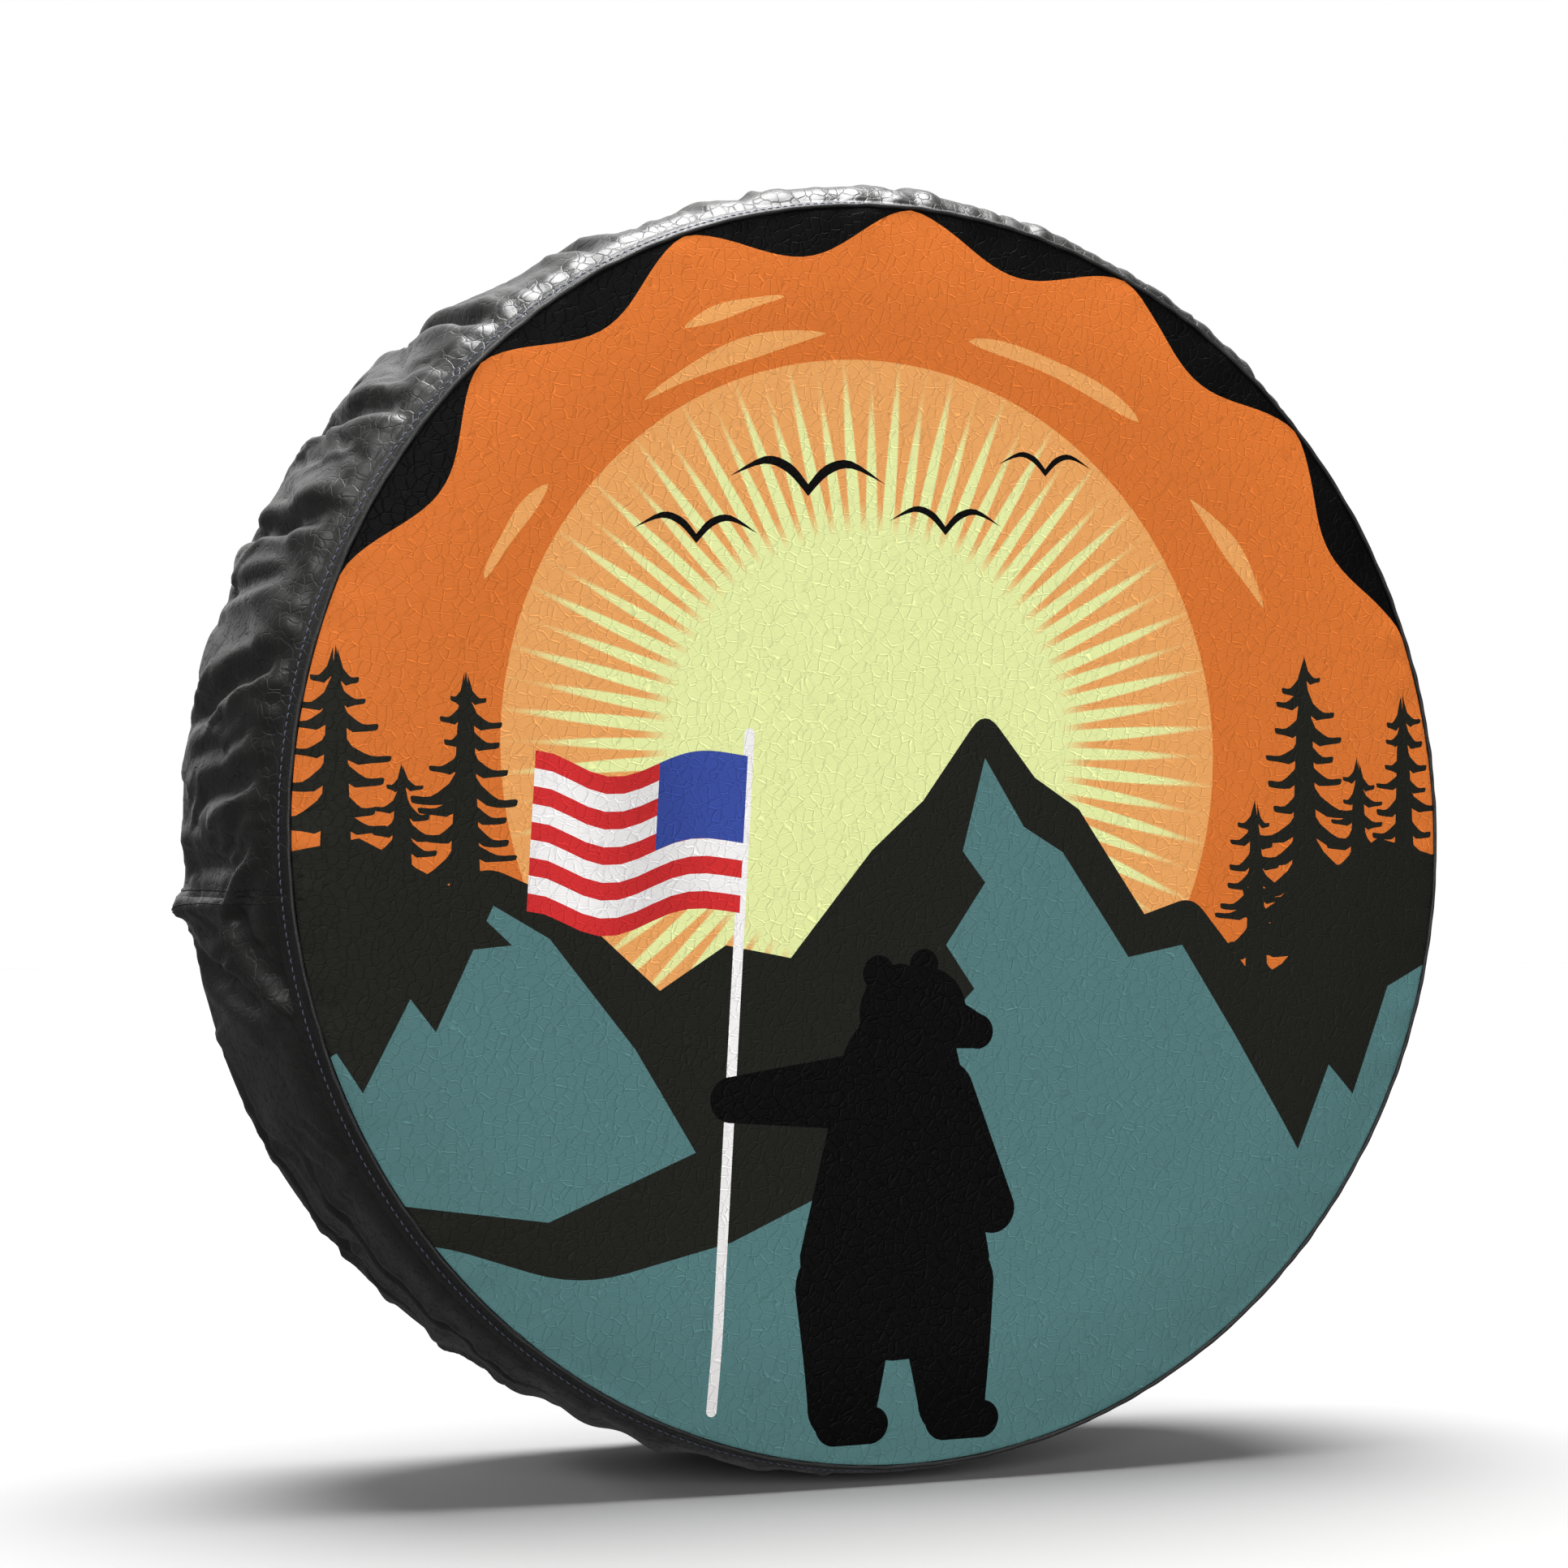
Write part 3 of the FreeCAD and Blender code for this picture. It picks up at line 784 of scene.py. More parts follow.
def sampled_surface(s):
    """The band's outer skin and normals at one way along it."""
    k = np.searchsorted(BAND_ROWS, s) - 1
    t = (s - BAND_ROWS[k]) / (BAND_ROWS[k + 1] - BAND_ROWS[k])
    points, normals = (sheet[:, k] * (1 - t) + sheet[:, k + 1] * t for sheet in (SURFACE, SURFACE_NORMALS))
    return points, unit(normals)


def band_stitches():
    """The row behind the seam, and two rows at each join."""
    path, normals = sampled_surface(TOPSTITCH_WAY)
    stitches = stitch_points(smoothed(path), normals, 4.6 * MM, 0.42 * MM, slant=0.5 * MM)
    stitch_piece("face_topstitch", "band_topstitch", [stitches], THREAD)
    for side_name, column in (("right", 0), ("left", HALF)):
        rows = []
        reach = slice(np.searchsorted(BAND_ROWS, 12 * MM), np.searchsorted(BAND_ROWS, 0.258))
        for side in (-1, 1):
            at = (column + side * 4 * MM * COLS / STRIP) % COLS
            low = int(at)
            high, t = (low + 1) % COLS, at - low
            path, normals = (sheet[low, reach] * (1 - t) + sheet[high, reach] * t
                             for sheet in (SURFACE, SURFACE_NORMALS))
            rows.append(stitch_points(path, unit(normals), 4.6 * MM, 0.38 * MM, closed=False))
        stitch_piece(f"{side_name}_join_topstitch", f"{side_name}_join_stitches", rows, BLACK_THREAD)


# ---------------------------------------------------------------- the gathered hem
HEM_WAYS = np.linspace(HEM_START + 0.3 * MM, BAND_LENGTH - 0.2 * MM, 12)


def hem_sheet():
    """The hem's middle surface, its normals, and the way towards the mouth at its edge."""
    sheet = rows_at(BAND, HEM_WAYS)
    normals = grid_normals(sheet)
    return sheet, normals, unit(sheet[:, -1] - sheet[:, -2])


HEM, HEM_NORMALS, HEM_INWARD = hem_sheet()


def hem_offset(height):
    return HEM + HEM_NORMALS * height


def ring_piece(name, section, turn, material):
    """A closed ring with one section for each column; turn is how far round the section each point is."""
    faces = [grid_faces(COLS, section.shape[1], True, True)]
    piece = add_mesh(name, section, faces, (material,), rest=rest_of(np.arange(COLS), turn))
    return face_outward(piece)


def hem_binding():
    """A tape folded over the elastic: an outer leg, the fold at the mouth, and an inner leg."""
    outside, inside = 1.85 * MM, 0.95 * MM
    rows = [hem_offset(outside)[:, k] for k in range(len(HEM_WAYS))]
    fold = np.radians([60, 30, 0, -30, -60])
    edge = HEM[:, -1]

    def turned(radius):
        out, inward = HEM_NORMALS[:, -1] * radius, HEM_INWARD * radius
        return [edge + out * math.sin(a) + inward * math.cos(a) for a in fold]

    rows += turned(outside)
    rows += [hem_offset(-outside)[:, k] for k in reversed(range(len(HEM_WAYS)))]
    back = [hem_offset(-inside)[:, k] for k in range(len(HEM_WAYS))]
    back += turned(inside)[::-1]
    back += [hem_offset(inside)[:, k] for k in reversed(range(len(HEM_WAYS)))]
    section = np.stack(rows + back, 1)
    turn = np.r_[0, np.cumsum(np.linalg.norm(np.diff(section[0], axis=0), axis=1))]
    piece = ring_piece("hem_tape", section, turn, TAPE)
    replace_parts(piece, "hem_binding")


def elastic_ring():
    """The flat elastic inside the binding's fold, drawn into the same waves."""
    ways = np.linspace(BAND_LENGTH - 18 * MM, BAND_LENGTH - 1 * MM, 7)
    middle = rows_at(BAND, ways)
    normals = grid_normals(middle)
    half = 0.7 * MM
    section = np.concatenate([middle + normals * half, (middle - normals * half)[:, ::-1]], axis=1)
    piece = ring_piece("hem_elastic", section, np.r_[ways, ways[::-1]], ELASTIC)
    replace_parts(piece, "elastic_ring")


def hem_stitching():
    """Two rows through the hem, each seen on both of its sides."""
    rows = []
    for way in (HEM_START + 3.0 * MM, BAND_LENGTH - 3.0 * MM):
        middle = rows_at(BAND, np.array([way - 1 * MM, way, way + 1 * MM]))
        normals = grid_normals(middle)[:, 1]
        for side in (1, -1):
            path = middle[:, 1] + normals * side * 1.85 * MM
            rows.append(stitch_points(path, normals * side, 5.5 * MM, 0.36 * MM))
    stitch_piece("hem_stitching", "hem_stitches", rows, THREAD)


# ---------------------------------------------------------------- the print: a generic picture, disc radius 1
INKS = {
    "sky": (217, 116, 49), "cloud": (237, 166, 97), "halo": (237, 166, 97), "dark": (31, 32, 27),
    "slope": (84, 123, 124), "black": (4, 4, 4), "white": (250, 247, 247), "red": (214, 48, 50),
    "blue": (59, 79, 163),
}


SUN = np.array([-0.06, 0.13])  # its middle on the disc
HALO_RADIUS = 0.62


def outline(*points):
    """A closed outline. A point's third number is how far from it its corner starts to round off."""
    out = []
    count = len(points)
    for i, point in enumerate(points):
        p = np.array(point[:2])
        if len(point) == 2:
            out.append(p)
            continue
        before, after = np.array(points[i - 1][:2]), np.array(points[(i + 1) % count][:2])
        a, b = (p + unit(q - p) * point[2] for q in (before, after))
        for t in np.linspace(0, 1, 7):
            out.append((1 - t) ** 2 * a + 2 * t * (1 - t) * p + t * t * b)
    return np.array(out)


def on_circle(angle, radius):
    return np.stack([radius * np.cos(angle), radius * np.sin(angle)], -1)


def rim_wave(start, end, depth):
    """One black wave that comes in from the rim between two angles."""
    t = np.linspace(0, 1, 22)
    angle = np.radians(start + (end - start) * t)
    inner = 1 - depth * np.sin(np.pi * t) ** 1.6
    return np.vstack([on_circle(angle, inner), on_circle(angle[::-1], np.full(22, 1.03))])


def streak(radius, start, end, thickness):
    """A thin cloud bent round the disc's middle, with pointed ends."""
    t = np.linspace(0, 1, 27)
    angle = np.radians(start + (end - start) * t)
    body = np.sin(np.pi * t) ** 0.6 * (1 + 0.25 * np.sin(6 * t + start))
    outer = on_circle(angle, radius + thickness * 0.6 * body)
    inner = on_circle(angle, radius - thickness * 0.4 * body)
    return np.vstack([outer, inner[-2:0:-1]])


def bird(u, v, span):
    """A gliding gull seen from the front: two arched wings."""
    upper = [(0, -0.10), (0.22, 0.13), (0.55, 0.20), (1.0, -0.06)]
    lower = [(1.0, -0.06), (0.56, 0.11), (0.26, 0.02), (0, -0.24)]
    over, under = (smooth_curve(side, closed=False, steps=4) for side in (upper, lower))
    right = np.vstack([over, under[1:]])
    return np.vstack([right, right[-2:0:-1] * (-1, 1)]) * span + (u, v)


def pine(u, top, base, reach, tiers, seed):
    """A pine as its trunk and pairs of branches, which grow longer towards the ground."""
    draw = np.random.default_rng(seed)
    height = top - base
    shapes = [np.array([(u, top), (u + 0.10 * reach, top - 0.2 * height), (u + 0.22 * reach, base),
                        (u - 0.22 * reach, base), (u - 0.10 * reach, top - 0.2 * height)])]
    for tier in range(tiers):
        share = (tier + 0.7) / tiers
        v = top - height * 0.95 * share
        for side in (-1, 1):
            out = reach * (0.18 + 0.82 * share**0.8) * draw.uniform(0.55, 1.15)
            drop = out * draw.uniform(0.16, 0.42) + 0.006
            thick = height / tiers * draw.uniform(0.75, 1.05)
            upper = [(0.28 * out, 0.10 * thick - 0.35 * drop)]
            upper += [(0.64 * out, -0.86 * drop), (out, -0.84 * drop)]
            tip = [(1.03 * out, -0.98 * drop - 0.05 * thick), (0.97 * out, -1.05 * drop - 0.14 * thick)]
            lower = [(0.66 * out, -1.06 * drop - 0.20 * thick), (0.40 * out, -0.82 * drop - 0.40 * thick)]
            curve = smooth_curve(upper + tip + lower, closed=False, steps=3)
            root = [(0.12 * out, -0.5 * drop - 0.30 * thick), (0, -0.6 * thick)]
            shape = np.vstack([[(0, 0.8 * thick)], curve, root])
            place = (u + side * draw.uniform(0, 0.004), v + draw.uniform(-0.2, 0.2) * thick)
            shapes.append(shape * (side, 1) + place)
    return shapes


FLAG_TOP, FLAG_LOW = np.array([-0.273, 0.115]), np.array([-0.287, -0.130])  # the flag's corners at the pole
FLAG_REACH = np.array([-0.350, -0.026])  # from the pole to its free end
FLAG_WAVES = 1.25


def flag_point(along, across):
    """A point of the waving flag: along from the pole to the free end, across from its top edge."""
    along, across = np.broadcast_arrays(along, across)
    hoist = FLAG_TOP + (FLAG_LOW - FLAG_TOP) * across[..., None]
    wave = 0.028 * np.sin(TAU * along * FLAG_WAVES) * (0.3 + 0.7 * along)
    lift = np.array([0, 1.0]) * wave[..., None]
    return hoist + FLAG_REACH * along[..., None] + lift


def flag_strip(start, end, top, low):
    """A band of the flag between two shares of its length and two shares of its height."""
    t = np.linspace(start, end, 13)
    return np.vstack([flag_point(t, top), flag_point(t[::-1], low)])


def flag():
    """Nine plain stripes and a plain corner."""
    stripes = 9
    shapes = []
    for k in range(stripes):
        shapes.append(("red" if k % 2 == 0 else "white", flag_strip(0, 1, k / stripes, (k + 1) / stripes)))
    shapes.append(("blue", flag_strip(0, 0.42, 0, 5 / stripes)))
    return shapes


def limb(start, end, thick, thin):
    """A rounded shape that tapers from one radius to another."""
    start, end = np.array(start), np.array(end)
    heading = math.atan2(*(end - start)[::-1])
    half = np.linspace(-math.pi / 2, math.pi / 2, 19)
    return np.vstack([end + on_circle(heading + half, np.full(19, thin)),
                      start + on_circle(heading + math.pi + half, np.full(19, thick))])


def bear():
    """A bear that stands still beside the pole, one paw on it: plain rounded shapes."""
    return (
        limb((-0.010, -0.385), (-0.020, -0.670), 0.105, 0.165),  # chest and belly
        limb((0.005, -0.300), (-0.010, -0.400), 0.080, 0.108),  # neck
        limb((0.000, -0.290), (0.035, -0.285), 0.082, 0.070),  # head
        limb((0.060, -0.300), (0.125, -0.318), 0.046, 0.028),  # muzzle
        limb((-0.050, -0.225), (-0.048, -0.222), 0.026, 0.026),  # ears
        limb((0.030, -0.212), (0.032, -0.210), 0.024, 0.024),
        limb((-0.070, -0.410), (-0.300, -0.420), 0.062, 0.036),  # arms
        limb((0.060, -0.420), (0.150, -0.600), 0.060, 0.040),
        limb((-0.105, -0.720), (-0.110, -0.900), 0.088, 0.060),  # legs
        limb((0.065, -0.720), (0.080, -0.900), 0.088, 0.060),
        limb((-0.120, -0.930), (-0.060, -0.935), 0.036, 0.030),  # feet
        limb((0.070, -0.930), (0.135, -0.935), 0.036, 0.030),
    )


def picture():
    """The print's areas of ink, each over the ones before it."""
    clouds = ((0.800, 58, 82, 0.034), (0.800, 100, 124, 0.030), (0.868, 104, 116, 0.022),
              (0.760, 30, 47, 0.028), (0.800, 139, 152, 0.026))
    layers = [("cloud", streak(*cloud)) for cloud in clouds]
    layers.append(("halo", on_circle(TAU * np.arange(90) / 90, np.full(90, HALO_RADIUS)) + SUN))
    flock = ((-0.36, 0.47, 0.105), (-0.17, 0.56, 0.135), (0.07, 0.50, 0.100), (0.25, 0.60, 0.085))
    layers += [("black", bird(*place)) for place in flock]
    layers.append(("dark", outline(
        (-1.05, -0.10), (-0.86, -0.14), (-0.70, -0.06, 0.03), (-0.58, -0.11), (-0.42, -0.25), (-0.31, -0.18),
        (-0.20, -0.20), (-0.06, -0.03), (0.03, 0.05), (0.14, 0.20, 0.04), (0.23, 0.09), (0.31, 0.04),
        (0.43, -0.13), (0.52, -0.10, 0.03), (0.64, -0.24), (0.78, -0.17), (1.05, -0.10), (1.05, -0.90),
        (-1.05, -0.90))))
    woods = ((-0.935, 0.270, -0.26, 0.150, 13, 1), (-0.835, 0.090, -0.22, 0.115, 10, 2),
             (-0.735, 0.235, -0.20, 0.135, 12, 3), (0.640, 0.055, -0.26, 0.105, 10, 4),
             (0.735, 0.300, -0.24, 0.150, 13, 5), (0.840, 0.130, -0.22, 0.115, 10, 6),
             (0.935, 0.240, -0.22, 0.130, 12, 7))
    for tree in woods:
        layers += [("dark", shape) for shape in pine(*tree)]
    layers.append(("slope", outline(
        (-0.69, -0.12), (-0.60, -0.17), (-0.46, -0.34), (-0.36, -0.50), (-0.60, -0.60), (-1.05, -0.54),
        (-1.05, -0.42), (-0.93, -0.34), (-0.89, -0.40), (-0.82, -0.26), (-0.78, -0.31))))
    layers.append(("slope", outline(
        (-1.05, -0.66), (-0.80, -0.62, 0.08), (-0.55, -0.70, 0.08), (-0.30, -0.64), (-0.12, -0.56),
        (0.05, -0.42), (0.01, -0.36), (0.12, -0.25), (0.07, -0.18), (0.14, -0.08), (0.10, -0.03),
        (0.14, 0.12),
        (0.21, 0.01), (0.28, -0.03), (0.40, -0.20), (0.50, -0.18), (0.60, -0.33), (0.72, -0.52),
        (0.78, -0.38), (0.83, -0.43), (0.90, -0.25), (1.05, -0.18), (1.05, -1.05), (-1.05, -1.05))))
    left_bank = ((-1.05, -0.05), (-0.90, -0.02), (-0.76, -0.09), (-0.66, -0.18), (-1.05, -0.22))
    right_bank = ((1.05, -0.04), (0.88, 0.00), (0.72, -0.10), (0.60, -0.20), (1.05, -0.18))
    layers += [("dark", outline(*bank)) for bank in (left_bank, right_bank)]
    wave = 23  # degrees
    layers += [("black", rim_wave(start, start + wave, 0.075)) for start in range(20, 158, wave)]
    layers.append(("white", limb((-0.330, -0.900), (-0.270, 0.150), 0.0085, 0.0085)))  # the pole
    layers += flag()
    return layers + [("black", shape) for shape in bear()]


def inside_outline(points, shape):
    """Which points lie inside a closed outline."""
    low, high = shape.min(0), shape.max(0)
    near = np.flatnonzero(((points >= low) & (points <= high)).all(1))
    x, y = points[near, 0:1], points[near, 1:2]
    ax, ay = shape[:, 0], shape[:, 1]
    bx, by = np.roll(ax, -1), np.roll(ay, -1)
    spans = (ay > y) != (by > y)
    rise = np.where(by == ay, 1.0, by - ay)
    crossings = (spans & (x < (bx - ax) * (y - ay) / rise + ax)).sum(1)
    return near[crossings % 2 == 1]


def filled_in(shape, longest):
    """The outline with more points on its long sides, so that the sheet can bend along them."""
    out = []
    for a, b in zip(shape, np.roll(shape, -1, 0)):
        parts = max(1, math.ceil(np.linalg.norm(b - a) / longest))
        out += [a + (b - a) * k / parts for k in range(parts)]
    return np.array(out)


def cut_print(layers):
    """Triangles of the whole disc, whose edges follow every outline, and each one's ink."""
    points, edges, first = [], [], 0
    rim_count = 900
    shapes = [shape for _, shape in layers]
    shapes.append(on_circle(TAU * np.arange(rim_count) / rim_count, np.ones(rim_count)))
    for shape in shapes:
        shape = filled_in(shape, 9.0 * MM / FACE_RADIUS)
        count = len(shape)
        points.append(shape)
        edges += [(first + i, first + (i + 1) % count) for i in range(count)]
        first += count
    pitch = 8.0 * MM / FACE_RADIUS
    steps = int(1 / pitch) + 2
    i, j = np.meshgrid(np.arange(-steps, steps + 1), np.arange(-steps, steps + 1), indexing="ij")
    fill = np.stack([(i + 0.5 * (j % 2)) * pitch, j * pitch * 0.866], -1).reshape(-1, 2)
    points.append(fill[np.hypot(*fill.T) < 1 - 19 * MM / FACE_RADIUS])
    for inset, count in ((1.6, 900), (3.4, 900), (5.6, 900), (8.2, 900), (11.4, 450), (15.5, 450)):
        ring = TAU * (np.arange(count) + 0.5) / count
        points.append(on_circle(ring, np.full(count, 1 - inset * MM / FACE_RADIUS)))
    flat = [Vector(p) for p in np.vstack(points).tolist()]
    found = delaunay_2d_cdt(flat, edges, [], 0, 1e-6, False)
    where = np.array([tuple(v) for v in found[0]])
    triangles = np.array(found[2])
    middle = where[triangles].mean(1)
    keep = inside_outline(middle, shapes[-1])
    triangles, middle = triangles[keep], middle[keep]
    ink = np.zeros(len(triangles), int)
    names = list(INKS)
    for name, shape in layers:
        ink[inside_outline(middle, shape)] = names.index(name)
    used = np.unique(triangles)
    index = np.zeros(len(where), int)
    index[used] = np.arange(len(used))
    return where[used], index[triangles], middle, ink


def flag_shade(middle):
    """How lit the waving flag is at a place of the print."""
    share = ((middle - FLAG_TOP) @ FLAG_REACH) / (FLAG_REACH @ FLAG_REACH)
    return 0.90 + 0.10 * np.cos(TAU * (share * FLAG_WAVES - 0.12))


def disc_depth(radius, front, edge_radius, fall):
    """Depth of a disc that is flat in the middle and falls back towards its edge."""
    share = np.clip((radius - FLAT_RADIUS) / (edge_radius - FLAT_RADIUS), 0, None)
    return front + fall * share**2


def printed_face():
    """The face: one sheet of leatherette, drawn tight, with small puckers where it is sewn."""
    flat, triangles, middle, ink = cut_print(picture())
    x, z = flat[:, 0] * FACE_RADIUS, flat[:, 1] * FACE_RADIUS
    radius, angle = np.hypot(x, z), np.arctan2(z, x)
    depth = disc_depth(radius, FRONT_Y, FACE_RADIUS, CROWN)
    near_seam = np.clip((radius - 326 * MM) / (16 * MM), 0, 1)
    near_seam = near_seam * np.clip((FACE_RADIUS - radius) / (3 * MM), 0.15, 1)
    pucker = wander(angle, 31, 90) * 0.30 + wander(angle, 32, 24) * 0.35
    slow = np.sin(9.1 * x + 2) * np.sin(7.3 * z + 1) + 0.6 * np.sin(17 * x - 13 * z)
    inside = np.clip((330 * MM - radius) / (40 * MM), 0, 1)
    depth = depth + (pucker * near_seam + 0.22 * slow * inside) * MM
    front = np.stack([x, depth, z], -1)
    count = len(front)
    back = front + (0, 1 * MM, 0)
    sides = np.concatenate([triangles[:, pair] for pair in ([0, 1], [1, 2], [2, 0])])
    sides = np.sort(sides, axis=1)
    pairs, uses = np.unique(sides, axis=0, return_counts=True)
    rim = pairs[uses == 1]
    outer = np.unique(rim)
    edge_index = np.zeros(count, int)
    edge_index[outer] = 2 * count + np.arange(len(outer))
    middle_edge = (front[outer] + back[outer]) / 2 + unit(front[outer] * (1, 0, 1)) * 0.3 * MM
    a, b = rim.T
    quads = [np.stack([a, b, edge_index[b], edge_index[a]], -1),
             np.stack([edge_index[a], edge_index[b], b + count, a + count], -1)]
    faces = [triangles, triangles[:, ::-1] + count] + quads
    rest = np.vstack([front, back, middle_edge])[:, [0, 2, 1]] * (1, 1, 0)
    slots = [0] * len(triangles) + [1] * len(triangles) + [0] * (2 * len(rim))
    points = np.vstack([front, back, middle_edge])
    piece = add_mesh("face_print", points, faces, (PRINT, KNIT), slots, rest)
    colours = np.array([srgb(*value) for value in INKS.values()])[ink]
    flagged = np.isin(ink, [list(INKS).index(name) for name in ("red", "white", "blue")])
    colours[flagged] *= flag_shade(middle[flagged])[:, None]
    sunlit = (ink == list(INKS).index("halo")).astype(float)
    rows = np.column_stack([colours, sunlit])
    black = np.array([*srgb(4, 4, 4), 0.0])
    corner = [np.repeat(rows, 3, axis=0), np.tile(black, (3 * len(triangles) + 8 * len(rim), 1))]
    store = piece.data.attributes.new("ink", "FLOAT_COLOR", "CORNER")
    store.data.foreach_set("color", np.vstack(corner).astype(np.float32).ravel())
    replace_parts(face_outward(piece), "printed_face")


def face_backing():
    """The felt that lies behind the face."""
    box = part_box("face_backing")
    edge, front = box[1][0], box[0][1]
    rings = np.r_[np.linspace(12 * MM, 300 * MM, 30), np.linspace(308 * MM, edge, 8)]
    around = TAU * np.arange(240) / 240
    radius, angle = np.meshgrid(rings, around)
    fall = CROWN * ((edge - FLAT_RADIUS) / (FACE_RADIUS - FLAT_RADIUS)) ** 2
    depth = disc_depth(radius, front, edge, fall) + 0.9 * MM
    x, z = radius * np.cos(angle), radius * np.sin(angle)
    slack = np.sin(21 * x + 3) * np.sin(17 * z + 1) + 0.5 * np.sin(41 * x - 23 * z) + 1.5
    depth = depth + slack * 0.5 * MM
    sheet = np.stack([x, depth, z], -1)
    count = sheet.shape[0] * sheet.shape[1]
    back = sheet + (0, 0.8 * MM, 0)
    cols, rows = sheet.shape[:2]
    skins = [grid_faces(cols, rows, True), grid_faces(cols, rows, True, first=count)[:, ::-1]]
    index = np.arange(count).reshape(cols, rows)
    rim = np.r_[index[:, -1], index[0, -1]]
    skins.append(np.stack([rim[:-1], rim[1:], rim[1:] + count, rim[:-1] + count], -1))
    skins += [[index[:, 0].tolist()], [(index[:, 0] + count).tolist()]]
    points = np.vstack([sheet.reshape(-1, 3), back.reshape(-1, 3)])
    piece = add_mesh("face_felt", points, skins, (FELT,), rest=points[:, [0, 2, 1]] * (1, 1, 0))
    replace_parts(face_outward(piece), "face_backing")


# ---------------------------------------------------------------- materials
def print_leather():
    """Printed leatherette: the inks, the sun with its rays, the embossed grain, and painted shade and
    highlights at its creases.
    """
    n = Nodes("printed_leatherette", IOR=1.45, Specular_IOR_Level=0.08)
    where = n.attribute("rest")["Vector"]
    ink = n.attribute("ink")
    split = n.add("SeparateXYZ", {"Vector": n.vector("SUBTRACT", where, (*SUN * FACE_RADIUS, 0.0))})
    across, up = split.outputs[0], split.outputs[1]
    away = n.math("SQRT", n.math("ADD", n.math("POWER", across, 2.0), n.math("POWER", up, 2.0)))
    turn = n.math("ARCTAN2", up, across)
    share = n.math("DIVIDE", away, FACE_RADIUS)
    rays = n.math("COSINE", n.math("MULTIPLY", turn, 80.0))
    even = n.math("COSINE", n.math("MULTIPLY", turn, 40.0))
    reach = n.math("MULTIPLY_ADD", even, 0.018, share)
    level = n.ramp(reach, 0.34, 0.62, -0.75, 1.0)
    beam = n.ramp(n.math("SUBTRACT", rays, level), -0.12, 0.42)
    beam = n.math("MULTIPLY", beam, n.ramp(reach, 0.44, 0.72, 1.0, 0.25))
    beam = n.math("MAXIMUM", beam, n.ramp(share, 0.335, 0.40, 1.0, 0.0))
    beam = n.math("MULTIPLY", beam, ink["Alpha"])
    colour = n.mix(beam, ink["Color"], (*srgb(233, 241, 168), 1))
    height, crease, edge = leather_grain(n, where, 6.3 * MM)
    tone = n.math("MULTIPLY_ADD", n.noise(where, 25.0, 3.0), 0.06, 0.97)
    # painted shade: the colour darkens a little in the creases
    shade = n.math("MULTIPLY", tone, n.ramp(crease, 0.0, 1.0, 0.95, 1.0))
    # painted highlight on one side of each crease and painted shade on the other, then more painted highlight
    # on the lit side
    shade = n.math("MULTIPLY_ADD", edge, 0.20, shade)
    shade = n.math("MULTIPLY_ADD", n.math("MAXIMUM", edge, 0.0), 0.28, shade)
    n.put(n.shader.inputs["Roughness"], n.math("MULTIPLY_ADD", n.noise(where, 300.0), 0.10, 0.50))
    n.bump(height, 0.30 * MM, 0.9)
    return n.finish(colour, shade)


def knit():
    """The knitted cloth on the back of the leatherette."""
    n = Nodes("knit_backing", Roughness=0.95, Specular_IOR_Level=0.1)
    where = n.attribute("rest")["Vector"]
    loops = n.wave(where, "X", 190.0, 1.5)
    rows = n.wave(where, "Y", 160.0, 1.0)
    weave = n.math("MULTIPLY", loops, rows)
    tone = n.math("MULTIPLY_ADD", weave, 0.45, 0.75)
    n.bump(weave, 0.3 * MM, 0.6)
    return n.finish(srgb(92, 92, 94), tone)


def felt():
    n = Nodes("felt", Roughness=1.0, Specular_IOR_Level=0.05)
    where = n.attribute("rest")["Vector"]
    fibres = n.noise(n.vector("MULTIPLY", where, (1.0, 2.6, 1.0)), 700.0, 4.0, 0.7)
    clumps = n.noise(where, 60.0, 3.0)
    tone = n.math("MULTIPLY_ADD", fibres, 0.5, n.math("MULTIPLY_ADD", clumps, 0.35, 0.60))
    n.bump(n.math("ADD", fibres, clumps), 0.5 * MM, 0.7)
    return n.finish(srgb(122, 122, 126), tone)


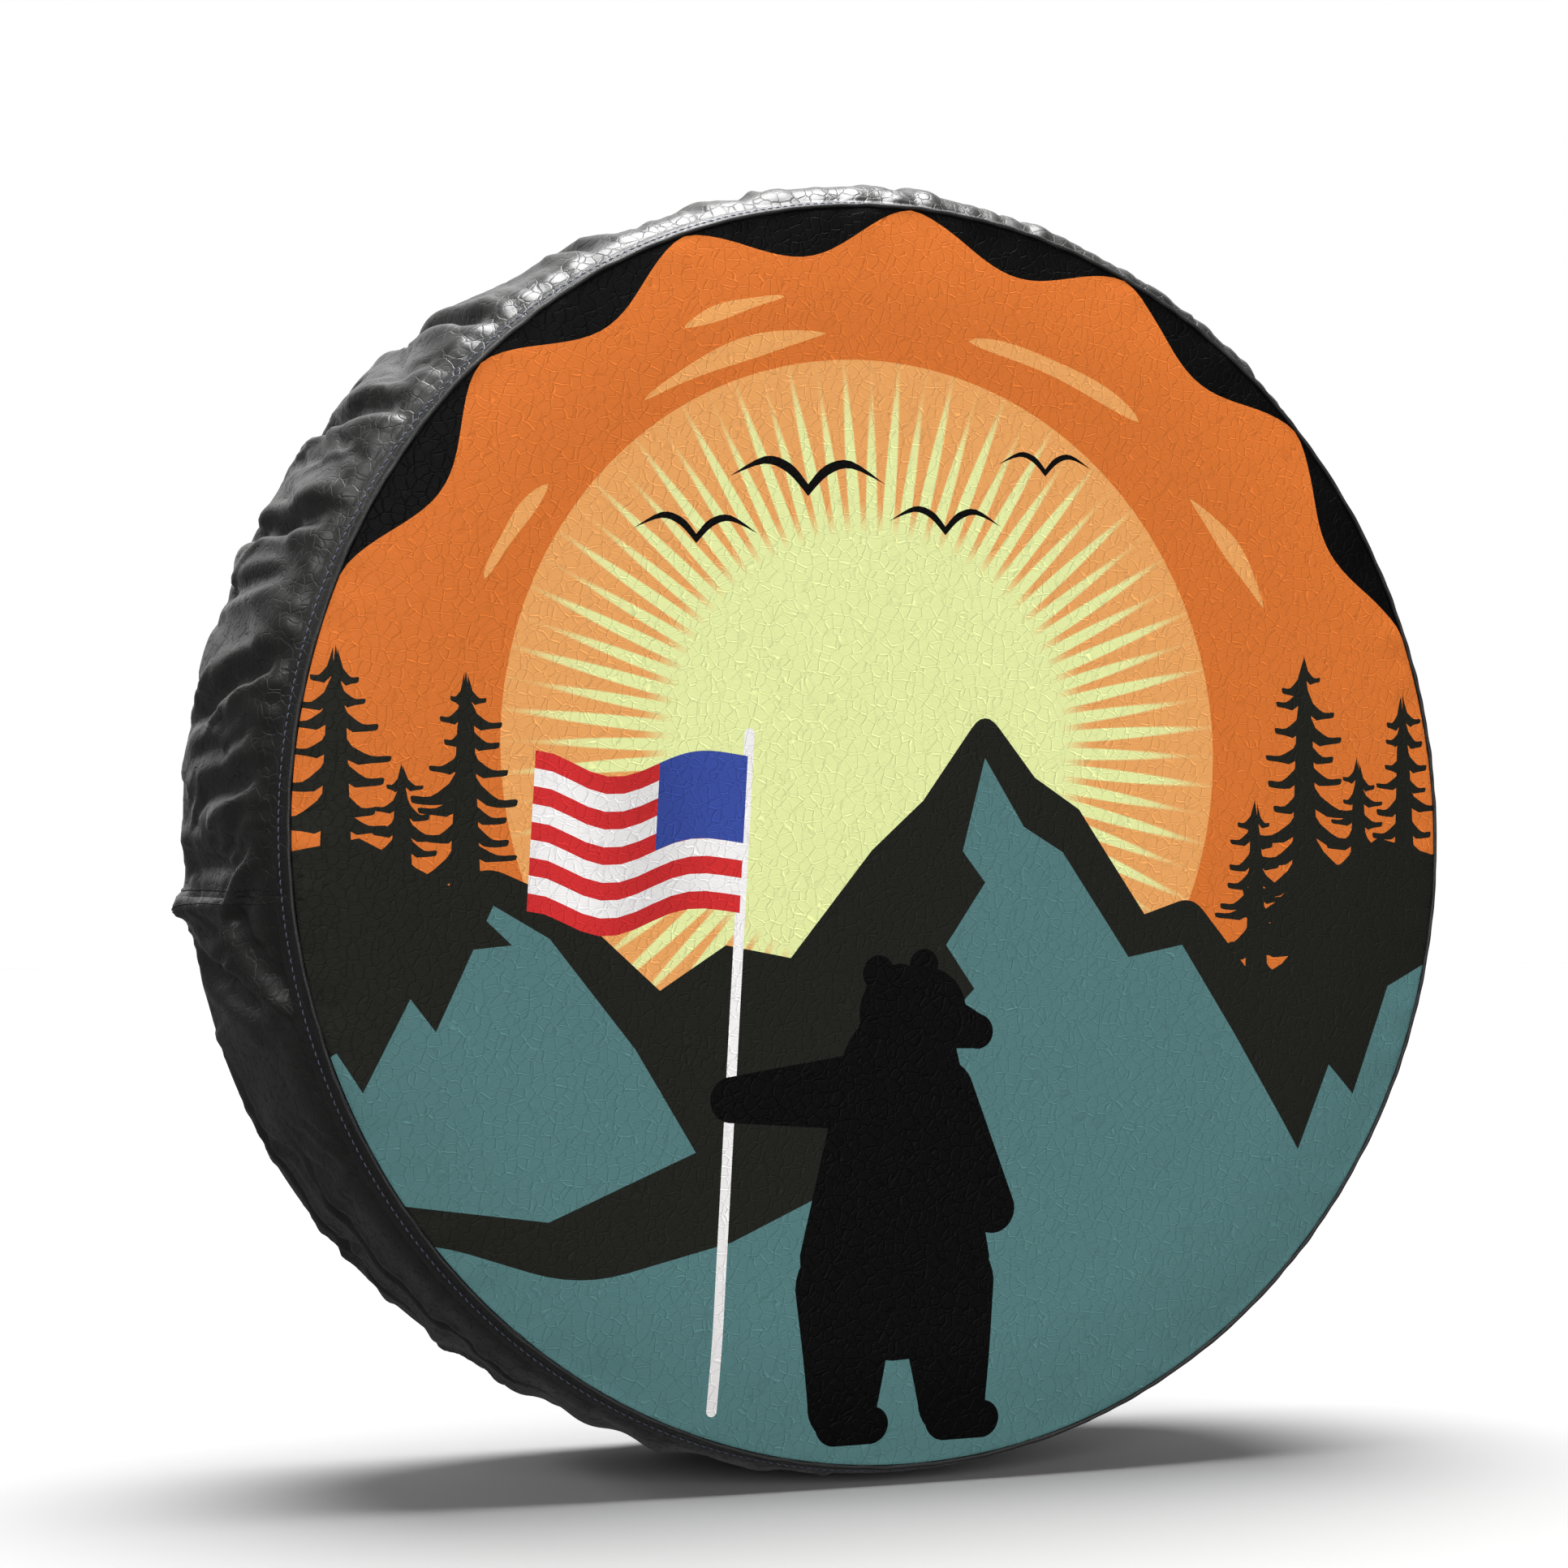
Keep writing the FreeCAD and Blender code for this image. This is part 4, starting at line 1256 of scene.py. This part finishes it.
def ribbed(name, colour, rib, across=1.0, depth=0.25, own="rest"):
    """Woven or braided narrow cloth: ribs along its length and fine threads across."""
    n = Nodes(name, Specular_IOR_Level=0.25)
    where = n.attribute(own)["Vector"] if own else n.add("TexCoord").outputs["Object"]
    ribs = n.wave(where, "X", 1 / rib / 6.28, 0.4)
    threads = n.wave(where, "Y", across / rib / 6.28 * 1.6, 0.6)
    weave = n.math("MULTIPLY_ADD", ribs, 0.6, n.math("MULTIPLY", threads, 0.4))
    tone = n.math("MULTIPLY_ADD", weave, 0.55, n.math("MULTIPLY_ADD", n.noise(where, 90.0, 3.0), 0.3, 0.55))
    n.put(n.shader.inputs["Roughness"], n.math("MULTIPLY_ADD", weave, -0.1, 0.8))
    n.bump(weave, depth * MM, 0.8)
    return n.finish(colour, tone)


def thread(name, colour):
    """Spun polyester thread."""
    n = Nodes(name, Specular_IOR_Level=0.35)
    where = n.add("TexCoord").outputs["Object"]
    fuzz = n.noise(where, 2500.0, 2.0)
    n.put(n.shader.inputs["Roughness"], n.math("MULTIPLY_ADD", fuzz, 0.2, 0.5))
    n.bump(fuzz, 0.12 * MM, 0.7)
    return n.finish(colour, n.math("MULTIPLY_ADD", fuzz, 0.8, 0.6))


LEATHER = leather("black_leatherette", srgb(29, 29, 28), 0.34, cell=7.6 * MM, depth=0.22, painted_highlight=1.2)
WELT_LEATHER = leather("welt_leatherette", srgb(26, 26, 26), 0.48, cell=3 * MM, depth=0.12)
PRINT = print_leather()
KNIT = knit()
FELT = felt()
TAPE = ribbed("woven_tape", srgb(38, 38, 40), 1.1 * MM)
ELASTIC = ribbed("elastic", srgb(30, 30, 32), 1.6 * MM, across=2.0, depth=0.4)
THREAD = thread("grey_blue_thread", srgb(84, 88, 106))
BLACK_THREAD = thread("black_thread", srgb(20, 20, 21))


def dress_cad_nodes():
    """The pieces that stay as they are in the CAD model get their own cloth and thread."""
    tape = ribbed("seam_tape_cloth", srgb(34, 34, 36), 1.1 * MM, own=None)
    for node, material in (("seam_tape", tape), ("hidden_seam_thread", THREAD)):
        item = frame["nodes"][node]
        item.data.materials.clear()
        item.data.materials.append(material)


def floor():
    """A pale floor under the cover."""
    bpy.ops.mesh.primitive_plane_add(size=60, location=(0, 0, FLOOR_Z - 0.2 * MM))
    item = bpy.context.object
    item.name = "floor"
    surface = Nodes("pale_floor", Roughness=0.9, Specular_IOR_Level=0.1, Base_Color=(0.31, 0.31, 0.31, 1))
    item.data.materials.append(surface.material)
    item.visible_diffuse = item.visible_glossy = False  # it doesn't light the cover from below


printed_face()
face_backing()
side_band()
seam_welt()
band_stitches()
hem_binding()
elastic_ring()
hem_stitching()
dress_cad_nodes()
floor()
